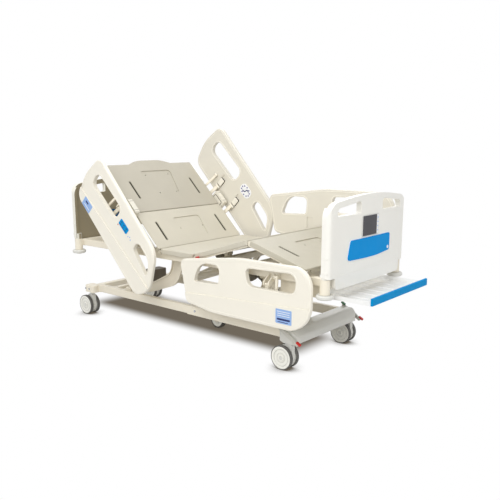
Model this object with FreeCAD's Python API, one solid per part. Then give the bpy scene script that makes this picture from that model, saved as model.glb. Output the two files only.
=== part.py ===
import FreeCAD, Part
import math
import os

# A motor-driven hospital bed with its back and knee raised, its two right rails lowered,
# its two left rails raised and its linen tray pulled out. Millimetres, +X to the foot end,
# +Z up, -Y to the patient's right. The floor is z = 0.

# Base on its casters
BASE_RAIL_OUTER_Y = 324.0
BASE_RAIL_WIDTH = 40.0
BASE_RAIL_HEIGHT = 56.0
BASE_RAIL_BOTTOM = 188.0
BASE_RAIL_HEAD_X = -1085.0
BASE_RAIL_STEP_X = -133.0
BASE_RAIL_STEP = 5.0
TUBE_WALL = 3.0
HEAD_STEM_X = -1181.0
FOOT_STEM_X = 741.0
STEM_Y = 330.0
CASTING_LENGTH = 112.0
CASTING_WIDTH = 84.0
CASTING_BOTTOM = 182.0
CASTING_TOP = 236.0
CROSS_TUBE_WIDTH = 44.0
CROSS_TUBE_HEIGHT = 40.0
BASE_CROSS_X = (-1000.0, -880.0, -169.0, -60.0)
COVER_HEAD_X = 672.0
COVER_FOOT_X = 802.0
COVER_BOTTOM = 162.0
COVER_TOP = 246.0
COVER_HALF_WIDTH = 348.0

# Casters
WHEEL_RADIUS = 75.0
TYRE_THICKNESS = 6.5
WHEEL_WIDTH = 24.0
WHEEL_SPACING = 62.0
CASTER_TRAIL = 38.0
CASTER_STEM_RADIUS = 15.0
HOUSING_THICKNESS = 30.0
HOUSING_TOP = 160.0
AXLE_RADIUS = 8.0
FIFTH_WHEEL_X = BASE_CROSS_X[2]
FIFTH_WHEEL_Y = 30.0
FIFTH_WHEEL_RADIUS = 62.0
FIFTH_WHEEL_WIDTH = 36.0

# Brake pedals
PEDAL_SHAFT_X = 748.0
PEDAL_SHAFT_Z = 216.0
PEDAL_SHAFT_RADIUS = 8.0
PEDAL_THICKNESS = 12.0
PEDAL_REACH = 80.0
PEDAL_SLOPE_DEG = 30.0

# Clearances and fits
PIN_FIT = 0.06
RUNNING_GAP = 0.5
SIDE_GAP = 1.0
SEAT_GAP = 0.3
OPEN_PIVOT_PLAY = 1.2

# Lift parallelogram
HEAD_ARM_X = -800.0
FOOT_ARM_X = 13.0
ARM_BASE_Z = 240.0
ARM_RUN = 520.0
ARM_RISE = 335.0
ARM_PLATE_Y = 247.0
ARM_PLATE_THICKNESS = 14.0
ARM_BASE_TUBE_RADIUS = 24.0
ARM_TOP_TUBE_RADIUS = 18.0
LIFT_PIN_RADIUS = 11.0
CRANK_TUBE_RADIUS = 20.0

# Actuators: pin to pin at rest, and the slotted cheeks that take up their swing
ACTUATOR_PIN_RADIUS = 8.0
ACTUATOR_EYE_HALF = 11.0
ACTUATOR_EYE_RADIUS = 15.0
ACTUATOR_TUBE_RADIUS = 20.0
ACTUATOR_ROD_RADIUS = 9.0
MOTOR_RADIUS = 36.0
MOTOR_LENGTH = 120.0
CHEEK_THICKNESS = 10.0
CHEEK_ROOT_Z = 594.0
SLOT_MARGIN = 2.0
LIFT_SLOT = (16.0, 1.7)
BACK_SLOT = (17.0, 2.8)
KNEE_SLOT = (8.0, 1.2)
BACK_ACTUATOR_Y = 130.0
KNEE_ACTUATOR_Y = -130.0

# Upper frame
FRAME_OUTER_Y = 380.0
FRAME_TUBE_WIDTH = 40.0
FRAME_BOTTOM = 552.0
FRAME_HEIGHT = 48.0
FRAME_CROSS_X = (-727.0, -510.0, 125.0, 385.0, 640.0)
CORNER_HEAD_X = -1217.0
CORNER_FOOT_X = 1022.0
CORNER_Y = 404.0
END_TUBE_WIDTH = 30.0
END_TUBE_INSET = 14.0
POST_RADIUS = 29.0
POST_BOTTOM = 520.0
POST_TOP = 604.0
SOCKET_DEPTH = 56.0
PEG_RADIUS = 14.0
PEG_LENGTH = 52.0
BUMPER_RADIUS = 50.0
BUMPER_HEIGHT = 24.0
BUMPER_AXLE_RADIUS = 8.0

# Mattress deck
DECK_TOP = 630.0
DECK_HALF_WIDTH = 421.0
PANEL_THICKNESS = 12.0
PANEL_SKIRT = 30.0
PANEL_WALL = 8.0
DECK_TUBE_WIDTH = 24.0
DECK_TUBE_HEIGHT = 30.0
DECK_TUBE_OUTER_Y = 410.0
HINGE_BELOW_DECK = 26.0
HINGE_PIN_RADIUS = 6.0
HINGE_EAR = 14.0
PANEL_GAP = 14.0
BACK_HINGE_X = -305.0
BACK_ANGLE_DEG = 45.0
BACK_LENGTH = 772.0
BACK_BARS = (44.0, 290.0, BACK_LENGTH - 72)
BACK_SEAM = 328.0
THIGH_HINGE_X = 38.0
THIGH_ANGLE_DEG = 17.3
THIGH_LENGTH = 472.0
CALF_ANGLE_DEG = -16.5
CALF_LENGTH = 430.0
EDGE_ROD_RADIUS = 8.0

# Side rails
RAIL_THICKNESS = 28.0
RAIL_LEDGE = 6.0
HEAD_RAIL_INNER_Y = 484.0
FOOT_RAIL_INNER_Y = 446.0
RAIL_PIVOT_Y = 426.0
RAIL_PIVOT_DROP = 105.0
HEAD_RAIL_HALF_TRAVEL = 155.0
FOOT_RAIL_HALF_TRAVEL = 175.0
RAIL_BOSS_RADIUS = 9.0
RAIL_PIN_RADIUS = 5.0
RAIL_SHAFT_RADIUS = 7.0
RAIL_BOSS_GAP = 1.0
RAIL_ARM_THICKNESS = 11.0
RAIL_ARM_WIDTH = 26.0
RAIL_LINK_WIDTH = 16.0
RAIL_LINK_RISE = 50.0
LUG_THICKNESS = 8.0
HEAD_RAIL_ARMS = (255.0, 460.0)
FOOT_RAIL_ARMS = (330.0, 640.0)
LINK_OFFSET = 70.0

# Head and foot boards
BOARD_FACE_REACH = 48.0
BOARD_THICKNESS = 34.0
BOARD_BULGE = 10.0
BOARD_HALF_WIDTH = 430.0
BOARD_WING_BACK = 12.0
BOARD_WING_THICKNESS = 22.0

PLATE_OUTLINE = [(-258, 690, 18), (-60, 683, 500), (60, 683, 500), (216, 696, 18),
                 (216, 800, 12), (-228, 800, 14)]
PLATE_SEAT = 12.0
PLATE_STAND = 4.0
SCREEN_MIDDLE_Y = -22.0
SCREEN_WIDTH = 182.0
SCREEN_BOTTOM_Z = 808.0
SCREEN_HEIGHT = 122.0
SCREEN_SEAT = 14.0
SCREEN_STAND = 6.0

# Linen tray
TRAY_FRONT_X = 1278.0
TRAY_LENGTH = 376.0
TRAY_HALF_WIDTH = 328.0
TRAY_FRONT_HALF_WIDTH = 335.0
TRAY_FRONT_THICKNESS = 14.0
TRAY_BOTTOM = 478.0
TRAY_FRONT_HEIGHT = 42.0
TRAY_SHEET = 3.0
TRAY_GUIDE_HEAD_X = 670.0
TRAY_GUIDE_FOOT_X = 978.0

# Outlines, each point with its corner radius: along the rail, up from the rail's middle
HEAD_RAIL_OUTLINE = [(-45, 192, 150), (774, 240, 66), (812, 35, 300), (765, -148, 80),
                     (-110, -182, 75), (-190, -60, 130)]
HEAD_RAIL_HOLES = [[(372, 38, 48), (372, 152, 50), (716, 152, 50), (712, 38, 48)],
                   [(-102, 2, 12), (-42, 104, 80), (124, 118, 40), (116, 38, 28)]]
HEAD_RAIL_LEDGE = [(-260, -40, 0), (860, -78, 0), (860, -300, 0), (-260, -300, 0)]
FOOT_RAIL_OUTLINE = [(-42, 144, 44), (460, 210, 800), (977, 210, 115), (977, -162, 160),
                     (240, -162, 600), (18, -128, 45)]
FOOT_RAIL_HOLES = [[(82, 15, 14), (140, 145, 105), (308, 143, 38), (296, 25, 22)],
                   [(508, 157, 28), (880, 169, 48), (872, 51, 45), (530, 51, 48)]]
FOOT_RAIL_LEDGE = [(-120, -76, 0), (1060, -14, 0), (1060, -300, 0), (-120, -300, 0)]

# Board outline from the end, across and up, each point with its corner radius
BOARD_FRONT_OUTLINE = [(-BOARD_HALF_WIDTH, 608, 8), (-BOARD_HALF_WIDTH, 1012, 88), (0, 1066, 2200),
                       (BOARD_HALF_WIDTH, 1012, 88), (BOARD_HALF_WIDTH, 608, 8), (370, 608, 4),
                       (362, 542, 22), (-362, 542, 22), (-370, 608, 4)]
BOARD_GRIP = [(122, 944, 12), (122, 1014, 20), (360, 986, 30), (360, 944, 12)]

# Slots, recess and levers of the deck
RECESS_DEPTH = 5.0
SLOT_WIDTH = 15.0
SLOT_Y = 300.0
CPR_X = 20.0
CPR_Y = 430.0
CPR_Z = 572.0
CABLE_RADIUS = 3.5

BED_MIDDLE_X = (CORNER_HEAD_X + CORNER_FOOT_X) / 2
BOARD_FACE_X = CORNER_FOOT_X + BOARD_FACE_REACH
BOARD_WING_X = CORNER_FOOT_X - BOARD_WING_BACK
ARM_BASE_HALF_WIDTH = BASE_RAIL_OUTER_Y - BASE_RAIL_WIDTH - 10.0
DECK_HINGE_Z = DECK_TOP - HINGE_BELOW_DECK
FRAME_TOP = FRAME_BOTTOM + FRAME_HEIGHT
FRAME_INNER_Y = FRAME_OUTER_Y - FRAME_TUBE_WIDTH
RAIL_PIVOT_Z = DECK_TOP - RAIL_PIVOT_DROP

vector = FreeCAD.Vector
LIFT_ANCHOR = vector(80.0, 0, 295.0)
LIFT_CRANK = vector(370.0, 0, 125.0)
CRANK_TUBE = vector(430.0, 0, 120.0)
BACK_ANCHOR = vector(60.0, BACK_ACTUATOR_Y, 478.0)
BACK_CRANK = vector(BACK_HINGE_X - 67.0, BACK_ACTUATOR_Y, DECK_HINGE_Z - 80.0)
KNEE_ANCHOR = vector(372.0, KNEE_ACTUATOR_Y, 488.0)
KNEE_CRANK = vector(THIGH_HINGE_X + 20.0, KNEE_ACTUATOR_Y, DECK_HINGE_Z - 115.0)
X_AXIS = vector(1, 0, 0)
Y_AXIS = vector(0, 1, 0)
Z_AXIS = vector(0, 0, 1)


def rounded_face(points, place):
    """Face of a polygon (a, b, corner radius), laid out by place(a, b)."""
    corners = []
    for index, (a, b, radius) in enumerate(points):
        corner = vector(a, b, 0)
        before = points[index - 1]
        after = points[(index + 1) % len(points)]
        back = (vector(before[0], before[1], 0) - corner).normalize()
        ahead = (vector(after[0], after[1], 0) - corner).normalize()
        half = back.getAngle(ahead) / 2
        inset = radius / math.tan(half)
        middle = corner + (back + ahead).normalize() * (radius / math.sin(half) - radius)
        corners.append((corner + back * inset, middle, corner + ahead * inset, radius))
    edges = []
    for index, (start, middle, end, radius) in enumerate(corners):
        if radius > 0:
            arc = Part.Arc(place(start.x, start.y), place(middle.x, middle.y), place(end.x, end.y))
            edges.append(arc.toShape())
        following = corners[(index + 1) % len(corners)][0]
        if (following - end).Length > 1e-6:
            line = Part.LineSegment(place(end.x, end.y), place(following.x, following.y))
            edges.append(line.toShape())
    return Part.Face(Part.Wire(Part.__sortEdges__(edges)))


def plate_xz(points, y_start, y_end):
    face = rounded_face(points, lambda a, b: vector(a, y_start, b))
    return face.extrude(vector(0, y_end - y_start, 0))


def plate_yz(points, x_start, x_end):
    face = rounded_face(points, lambda a, b: vector(x_start, a, b))
    return face.extrude(vector(x_end - x_start, 0, 0))


def plate_xy(points, z_start, z_end):
    face = rounded_face(points, lambda a, b: vector(a, b, z_start))
    return face.extrude(vector(0, 0, z_end - z_start))


def box(x_start, x_end, y_start, y_end, z_start, z_end, radius=0.0):
    """Block with rounded upright edges."""
    points = [(x_start, y_start, radius), (x_end, y_start, radius),
              (x_end, y_end, radius), (x_start, y_end, radius)]
    return plate_xy(points, z_start, z_end)


def rod(start, end, radius, bore=0.0):
    run = end - start
    shape = Part.makeCylinder(radius, run.Length, start, run)
    if bore > 0:
        shape = shape.cut(Part.makeCylinder(bore, run.Length, start, run))
    return shape


def rod_y(x, z, y_start, y_end, radius, bore=0.0):
    return rod(vector(x, y_start, z), vector(x, y_end, z), radius, bore)


def square_tube(start, end, width, height, wall, corner=5.0):
    """Rounded rectangular tube; width is level and across, height is the other way."""
    run = end - start
    along = vector(run).normalize()
    across = Z_AXIS.cross(along).normalize()
    upright = along.cross(across)

    def section(half_width, half_height, radius):
        points = [(-half_width, -half_height, radius), (half_width, -half_height, radius),
                  (half_width, half_height, radius), (-half_width, half_height, radius)]
        return rounded_face(points, lambda a, b: start + across * a + upright * b).extrude(run)

    outside = section(width / 2, height / 2, corner)
    if wall <= 0:
        return outside
    return outside.cut(section(width / 2 - wall, height / 2 - wall, corner - wall + 1.0))


def fuse(shapes):
    joined = shapes[0]
    if len(shapes) > 1:
        joined = joined.multiFuse(shapes[1:])
    return joined.removeSplitter()


def flipped(shape):
    """The same piece on the patient's left."""
    return shape.mirror(vector(0, 0, 0), Y_AXIS)


def both_sides(shape):
    return [shape, flipped(shape)]


def turned(shape, x, z, angle_deg):
    """Tilted about a level cross axis; positive lifts the foot side."""
    copy = shape.copy()
    copy.rotate(vector(x, 0, z), Y_AXIS, -angle_deg)
    return copy


def back_placed(shape):
    return turned(shape, BACK_HINGE_X, DECK_HINGE_Z, -BACK_ANGLE_DEG)


def thigh_placed(shape):
    return turned(shape, THIGH_HINGE_X, DECK_HINGE_Z, THIGH_ANGLE_DEG)


def calf_placed(shape):
    slope = turned(shape, THIGH_HINGE_X + THIGH_LENGTH, DECK_HINGE_Z,
                   CALF_ANGLE_DEG - THIGH_ANGLE_DEG)
    return thigh_placed(slope)


# Fastening pieces that come back several times


def link_bar(start, end, y_start, y_end, radius, half_height):
    """Straight bar with round ends in the XZ plane, from pin centre to pin centre."""
    run = end - start
    across = vector(-run.z, 0, run.x).normalize() * half_height
    corners = [start + across, end + across, end - across, start - across]
    bar = plate_xz([(c.x, c.z, 0) for c in corners], y_start, y_end)
    eyes = [rod_y(p.x, p.z, y_start, y_end, radius) for p in (start, end)]
    return fuse([bar] + eyes)


# Base


def base_side_rails():
    """Two long tubes, the foot stretch a little deeper than the head stretch."""
    middle_y = -(BASE_RAIL_OUTER_Y - BASE_RAIL_WIDTH / 2)
    top = BASE_RAIL_BOTTOM + BASE_RAIL_HEIGHT
    solids = []
    for start, end, bottom in ((BASE_RAIL_HEAD_X, BASE_RAIL_STEP_X, BASE_RAIL_BOTTOM),
                               (BASE_RAIL_STEP_X, COVER_HEAD_X + 30, BASE_RAIL_BOTTOM - BASE_RAIL_STEP)):
        level = (top + bottom) / 2
        tube = square_tube(vector(start, middle_y, level), vector(end, middle_y, level),
                           BASE_RAIL_WIDTH, top - bottom, TUBE_WALL, 7.0)
        solids += both_sides(tube)
    return solids


def base_cross_tube(x):
    half = BASE_RAIL_OUTER_Y - BASE_RAIL_WIDTH
    level = BASE_RAIL_BOTTOM + CROSS_TUBE_HEIGHT / 2
    return square_tube(vector(x, -half, level), vector(x, half, level),
                       CROSS_TUBE_WIDTH, CROSS_TUBE_HEIGHT, TUBE_WALL)


def base_arm_ear(x):
    """Ear on the inside of a base rail, with the stub pin of a lift arm."""
    inner = BASE_RAIL_OUTER_Y - BASE_RAIL_WIDTH
    points = [(x - 46, BASE_RAIL_BOTTOM + 4, 4), (x + 46, BASE_RAIL_BOTTOM + 4, 4),
              (x + 22, ARM_BASE_Z + 24, 16), (x - 22, ARM_BASE_Z + 24, 16)]
    ear = plate_xz(points, -inner, -inner + 8)
    pin = rod_y(x, ARM_BASE_Z, -inner, -inner + 44, LIFT_PIN_RADIUS)
    return fuse([ear, pin])


def base_cross_tubes():
    solids = [base_cross_tube(x) for x in BASE_CROSS_X]
    for x in (HEAD_ARM_X, FOOT_ARM_X):
        solids += both_sides(base_arm_ear(x))
    return solids


def base_corner_castings():
    """Cast corners that hold the head casters, joined by the head cross tube."""
    x_start = HEAD_STEM_X - CASTING_LENGTH / 2 + 14
    x_end = x_start + CASTING_LENGTH
    y_end = -(STEM_Y - CASTING_WIDTH / 2)
    y_start = y_end - CASTING_WIDTH
    block = box(x_start, x_end, y_start, y_end, CASTING_BOTTOM, CASTING_TOP, 24.0)
    block = block.makeFillet(6.0, [e for e in block.Edges if e.BoundBox.ZMin > CASTING_TOP - 1])
    neck = box(x_end - 12, BASE_RAIL_HEAD_X, -BASE_RAIL_OUTER_Y + 1, -BASE_RAIL_OUTER_Y
               + BASE_RAIL_WIDTH - 1, CASTING_BOTTOM + 4, CASTING_TOP + 4)
    casting = fuse([block, neck])
    casting = casting.cut(rod(vector(HEAD_STEM_X, -STEM_Y, CASTING_BOTTOM - 1),
                              vector(HEAD_STEM_X, -STEM_Y, CASTING_TOP - 12),
                              CASTER_STEM_RADIUS + PIN_FIT))
    level = CASTING_BOTTOM + 4 + CROSS_TUBE_HEIGHT / 2
    cross = square_tube(vector(HEAD_STEM_X, y_end, level), vector(HEAD_STEM_X, -y_end, level),
                        CROSS_TUBE_WIDTH + 6, CROSS_TUBE_HEIGHT, TUBE_WALL)
    return both_sides(casting) + [cross]


def base_foot_cover():
    """Moulded cover across the foot end, with the brake shaft and caster stems in it."""
    points = [(COVER_HEAD_X, COVER_BOTTOM + 14, 10), (COVER_HEAD_X, COVER_TOP, 10),
              (COVER_HEAD_X + 84, COVER_TOP, 40), (COVER_FOOT_X, COVER_BOTTOM + 46, 26),
              (COVER_FOOT_X - 6, COVER_BOTTOM, 16), (COVER_HEAD_X + 30, COVER_BOTTOM, 10)]
    cover = plate_xz(points, -COVER_HALF_WIDTH, COVER_HALF_WIDTH)
    half = COVER_HALF_WIDTH
    plan = [(COVER_HEAD_X - 1, -half, 10), (COVER_FOOT_X, -half, 48), (COVER_FOOT_X, half, 48),
            (COVER_HEAD_X - 1, half, 10)]
    cover = cover.common(plate_xy(plan, COVER_BOTTOM - 1, COVER_TOP + 1))
    cover = cover.cut(rod_y(PEDAL_SHAFT_X, PEDAL_SHAFT_Z, -COVER_HALF_WIDTH - 1,
                            COVER_HALF_WIDTH + 1, PEDAL_SHAFT_RADIUS + PIN_FIT))
    for side in (-1, 1):
        cover = cover.cut(rod(vector(FOOT_STEM_X, side * STEM_Y, COVER_BOTTOM - 1),
                              vector(FOOT_STEM_X, side * STEM_Y, COVER_BOTTOM + 41),
                              CASTER_STEM_RADIUS + PIN_FIT))
    return [cover]


def fifth_wheel_bracket():
    """Fork of the steering wheel in the middle of the base."""
    top = BASE_RAIL_BOTTOM
    half = FIFTH_WHEEL_WIDTH / 2 + SIDE_GAP
    x = FIFTH_WHEEL_X
    y = FIFTH_WHEEL_Y
    points = [(x - 30, top - 6, 0), (x - 16, FIFTH_WHEEL_RADIUS - 16, 15),
              (x + 16, FIFTH_WHEEL_RADIUS - 16, 15), (x + 30, top - 6, 0)]
    cheeks = [plate_xz(points, y + half, y + half + 6), plate_xz(points, y - half - 6, y - half)]
    bridge = box(x - 30, x + 30, y - half - 6, y + half + 6, top - 6, top)
    axle = rod_y(x, FIFTH_WHEEL_RADIUS, y - half - 1, y + half + 1, AXLE_RADIUS)
    return [fuse(cheeks + [bridge, axle])]


def wheel(x, z, y_middle, radius, width, tyre):
    """A moulded disc with a dished face, and the tyre round it."""
    y_start = y_middle - width / 2
    y_end = y_middle + width / 2
    rim = radius - tyre
    disc = rod_y(x, z, y_start, y_end, rim, AXLE_RADIUS + PIN_FIT)
    for level, towards in ((y_start, -1), (y_end, 1)):
        dish = Part.makeCone(rim - 8, rim - 20, 4.0, vector(x, level, z), vector(0, -towards, 0))
        dish = dish.cut(rod_y(x, z, y_start - 1, y_end + 1, 20.0))
        disc = disc.cut(dish)
    band = rod_y(x, z, y_start, y_end, radius, rim)
    band = band.makeChamfer(min(3.0, tyre / 3), [e for e in band.Edges
                                                 if abs(e.BoundBox.ZMax - z - radius) < 0.5
                                                 and e.BoundBox.YLength < 0.1])
    return [disc, band]


def caster_wheels(stem_x, side):
    x = stem_x - CASTER_TRAIL
    solids = []
    for offset in (-WHEEL_SPACING / 2, WHEEL_SPACING / 2):
        solids += wheel(x, WHEEL_RADIUS, side * STEM_Y + offset, WHEEL_RADIUS, WHEEL_WIDTH,
                        TYRE_THICKNESS)
    return solids


def caster_housing(stem_x, side, stem_top):
    """Twin-wheel caster body: round web between the wheels, stem and axle."""
    x = stem_x - CASTER_TRAIL
    y = side * STEM_Y
    half = HOUSING_THICKNESS / 2
    points = [(x - 20, WHEEL_RADIUS + 30, 10), (x + 56, WHEEL_RADIUS - 24, 20),
              (stem_x + 24, WHEEL_RADIUS + 40, 16), (stem_x + 22, HOUSING_TOP, 10),
              (stem_x - 28, HOUSING_TOP, 14)]
    neck = plate_xz(points, y - half, y + half)
    web = rod_y(x, WHEEL_RADIUS, y - half, y + half, WHEEL_RADIUS - 8)
    stem = rod(vector(stem_x, y, HOUSING_TOP - 20), vector(stem_x, y, stem_top),
               CASTER_STEM_RADIUS)
    reach = WHEEL_SPACING / 2 + WHEEL_WIDTH / 2 - 1
    axle = rod_y(x, WHEEL_RADIUS, y - reach, y + reach, AXLE_RADIUS)
    return [fuse([web, neck, stem, axle])]


def fifth_wheel():
    return wheel(FIFTH_WHEEL_X, FIFTH_WHEEL_RADIUS, FIFTH_WHEEL_Y, FIFTH_WHEEL_RADIUS,
                 FIFTH_WHEEL_WIDTH, TYRE_THICKNESS + 4)


def pedal_end(sign):
    """Tip of the pedal: sign 1 is the brake end at the foot, -1 the steering end."""
    slope = math.radians(PEDAL_SLOPE_DEG)
    return vector(PEDAL_SHAFT_X + sign * PEDAL_REACH * math.cos(slope), 0,
                  PEDAL_SHAFT_Z - sign * PEDAL_REACH * math.sin(slope))


def brake_pedals():
    """One shaft across the base with a rocking pedal at each end."""
    inner = COVER_HALF_WIDTH + RUNNING_GAP
    outer = inner + PEDAL_THICKNESS
    shaft = rod_y(PEDAL_SHAFT_X, PEDAL_SHAFT_Z, -inner, inner, PEDAL_SHAFT_RADIUS)
    foot = pedal_end(1)
    head = pedal_end(-1)
    points = [(head.x - 6, head.z + 2, 4), (PEDAL_SHAFT_X, PEDAL_SHAFT_Z + 16, 30),
              (foot.x + 4, foot.z - 2, 4), (foot.x - 8, foot.z - 14, 5),
              (PEDAL_SHAFT_X, PEDAL_SHAFT_Z - 16, 30), (head.x - 2, head.z - 12, 5)]
    pedal = plate_xz(points, -outer, -inner)
    return [fuse([shaft] + both_sides(pedal))]


def pedal_pads():
    """Red brake pads and green steering pads on the pedal tips."""
    inner = COVER_HALF_WIDTH + RUNNING_GAP
    outer = inner + PEDAL_THICKNESS + 4
    solids = []
    for sign in (1, -1):
        tip = pedal_end(sign)
        block = box(tip.x - 17, tip.x + 17, -outer, -inner, tip.z + 1, tip.z + 11, 5.0)
        block.rotate(tip, Y_AXIS, PEDAL_SLOPE_DEG)
        solids += both_sides(block)
    return solids


# Lift


def arm_outline(x):
    """Gooseneck side plate, from its base pivot at (x, ARM_BASE_Z)."""
    top_x = x + ARM_RUN
    top_z = ARM_BASE_Z + ARM_RISE
    return [(x - 28, ARM_BASE_Z, 20), (x - 10, ARM_BASE_Z + 30, 20),
            (x + 250, ARM_BASE_Z + 92, 420), (top_x - 70, top_z - 145, 110),
            (top_x - 50, top_z - 28, 24), (top_x - 12, top_z + 22, 19),
            (top_x + 26, top_z + 14, 19),
            (top_x + 40, top_z - 85, 130), (top_x - 20, top_z - 225, 150),
            (x + 250, ARM_BASE_Z + 22, 400), (x + 10, ARM_BASE_Z - 28, 24)]


def slotted_cheeks(root, pin, pivot, slot, radius):
    """Two cheeks from a tube to an actuator pin, slotted away from the pivot they swing on."""
    travel, play = slot
    away = vector(pin.x - pivot.x, 0, pin.z - pivot.z).normalize()
    inner_end = pin - away * SLOT_MARGIN
    outer_end = pin + away * travel
    hole = ACTUATOR_PIN_RADIUS + play
    cheeks = []
    for side in (-1, 1):
        near = pin.y + side * (ACTUATOR_EYE_HALF + SIDE_GAP)
        far = near + side * CHEEK_THICKNESS
        low, high = min(near, far), max(near, far)
        cheek = link_bar(root, pin + away * (travel / 2), low, high, radius, radius * 0.7)
        cheeks.append(cheek.cut(link_bar(inner_end, outer_end, low - 1, high + 1, hole, hole)))
    return cheeks


def lift_arms(x, top_bore):
    """Two gooseneck plates joined by the base tube and the crank tube."""
    top = vector(x + ARM_RUN, 0, ARM_BASE_Z + ARM_RISE)
    base = vector(x, 0, ARM_BASE_Z)
    inner = ARM_PLATE_Y - ARM_PLATE_THICKNESS / 2
    outer = ARM_PLATE_Y + ARM_PLATE_THICKNESS / 2
    plate = plate_xz(arm_outline(x), -outer, -inner)
    flange = plate_xz(arm_outline(x), -outer - 10, -inner + 10)
    inside = flange.copy()
    inside.translate(vector(5, 0, -6))
    flange = flange.cut(inside)
    boss = rod_y(top.x, top.z, -FRAME_INNER_Y + 2 * SIDE_GAP, -inner, ARM_TOP_TUBE_RADIUS)
    base_tube = rod_y(x, ARM_BASE_Z, -ARM_BASE_HALF_WIDTH, ARM_BASE_HALF_WIDTH,
                      ARM_BASE_TUBE_RADIUS)
    crank = base + CRANK_TUBE
    crank_tube = rod_y(crank.x, crank.z, -inner, inner, CRANK_TUBE_RADIUS)
    cheeks = slotted_cheeks(crank, base + LIFT_CRANK, top, LIFT_SLOT, 19.0)
    arms = fuse([base_tube, crank_tube] + both_sides(fuse([plate, flange, boss])) + cheeks)
    arms = arms.cut(rod_y(x, ARM_BASE_Z, -400, 400, LIFT_PIN_RADIUS + PIN_FIT))
    return [arms.cut(rod_y(top.x, top.z, -400, 400, top_bore))]


def along(start, end, distance):
    return start + (end - start).normalize() * distance


def actuator_body(anchor, pin, tube_end, motor_side):
    """Rear eye, gearbox, motor beside it and the outer tube of the rod."""
    eye = rod(anchor - Y_AXIS * ACTUATOR_EYE_HALF, anchor + Y_AXIS * ACTUATOR_EYE_HALF,
              ACTUATOR_EYE_RADIUS)
    neck = rod(along(anchor, pin, 8), along(anchor, pin, 46), ACTUATOR_EYE_HALF - 1)
    tube = rod(along(anchor, pin, 44), along(anchor, pin, tube_end), ACTUATOR_TUBE_RADIUS)
    collar = rod(along(anchor, pin, tube_end - 22), along(anchor, pin, tube_end - 6),
                 ACTUATOR_TUBE_RADIUS + 3)
    beside = Y_AXIS * motor_side * (ACTUATOR_TUBE_RADIUS + MOTOR_RADIUS - 14)
    start = along(anchor, pin, 50) + beside
    end = along(anchor, pin, 50 + MOTOR_LENGTH) + beside
    motor = rod(start, end, MOTOR_RADIUS)
    motor = motor.makeChamfer(5.0, [e for e in motor.Edges if len(e.Vertexes) == 1])
    body = fuse([eye, neck, tube, collar, motor])
    body = body.cut(rod(anchor - Y_AXIS * 30, anchor + Y_AXIS * 30,
                        ACTUATOR_PIN_RADIUS + PIN_FIT))
    return [body.cut(rod(along(anchor, pin, 52), along(anchor, pin, tube_end + 1),
                         ACTUATOR_ROD_RADIUS + PIN_FIT))]


def actuator_rod(anchor, pin, rod_start):
    """Push rod with its eye, and the cross pin that runs in the slotted cheeks."""
    rod_end = (pin - anchor).Length - ACTUATOR_EYE_RADIUS + 3
    push = rod(along(anchor, pin, rod_start), along(anchor, pin, rod_end), ACTUATOR_ROD_RADIUS)
    eye = rod(pin - Y_AXIS * ACTUATOR_EYE_HALF, pin + Y_AXIS * ACTUATOR_EYE_HALF,
              ACTUATOR_EYE_RADIUS)
    reach = ACTUATOR_EYE_HALF + SIDE_GAP + CHEEK_THICKNESS + 3
    cross = rod(pin - Y_AXIS * reach, pin + Y_AXIS * reach, ACTUATOR_PIN_RADIUS)
    return [fuse([push, eye, cross])]


def lift_actuator_points(x):
    base = vector(x, 0, ARM_BASE_Z)
    return base + LIFT_ANCHOR, base + LIFT_CRANK


# Upper frame


def frame_tube(x):
    level = FRAME_BOTTOM + CROSS_TUBE_HEIGHT / 2 + 2
    return square_tube(vector(x, -FRAME_INNER_Y, level), vector(x, FRAME_INNER_Y, level),
                       CROSS_TUBE_WIDTH - 4, CROSS_TUBE_HEIGHT, TUBE_WALL)


def upper_frame():
    """Two side tubes and their cross tubes."""
    level = FRAME_BOTTOM + FRAME_HEIGHT / 2
    middle_y = -(FRAME_OUTER_Y - FRAME_TUBE_WIDTH / 2)
    inset = END_TUBE_INSET + END_TUBE_WIDTH / 2
    side = square_tube(vector(CORNER_HEAD_X + inset, middle_y, level),
                       vector(CORNER_FOOT_X - inset, middle_y, level),
                       FRAME_TUBE_WIDTH, FRAME_HEIGHT, TUBE_WALL, 6.0)
    return both_sides(side) + [frame_tube(x) for x in FRAME_CROSS_X]


def hanging_ears(cross_x, anchor):
    """Two ears from a cross tube down to an actuator's rear pin, and the pin."""
    level = FRAME_BOTTOM + 2
    root = vector(cross_x, anchor.y, level + 8)
    tube = box(cross_x - CROSS_TUBE_WIDTH / 2 + 2, cross_x + CROSS_TUBE_WIDTH / 2 - 2,
               -FRAME_INNER_Y, FRAME_INNER_Y, level, level + CROSS_TUBE_HEIGHT)
    ears = []
    for side in (-1, 1):
        near = anchor.y + side * (ACTUATOR_EYE_HALF + SIDE_GAP)
        far = near + side * 6
        ear = link_bar(root, anchor, min(near, far), max(near, far), ACTUATOR_EYE_RADIUS, 12.0)
        ears.append(ear.cut(tube))
    reach = ACTUATOR_EYE_HALF + SIDE_GAP + 6
    pin = rod(anchor - Y_AXIS * reach, anchor + Y_AXIS * reach, ACTUATOR_PIN_RADIUS)
    return fuse(ears + [pin])


def deck_hinge_ear(x):
    """Ear on top of a frame tube, with the pin that a deck section swings on."""
    inner = FRAME_OUTER_Y - HINGE_EAR
    ear = plate_xz([(x - 13, FRAME_TOP, 0), (x + 13, FRAME_TOP, 0),
                    (x + 13, DECK_HINGE_Z + 11, 11), (x - 13, DECK_HINGE_Z + 11, 11)],
                   -FRAME_OUTER_Y, -inner)
    pin = rod_y(x, DECK_HINGE_Z, -DECK_TUBE_OUTER_Y - 2, -FRAME_OUTER_Y, HINGE_PIN_RADIUS)
    return fuse([ear, pin])


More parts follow.
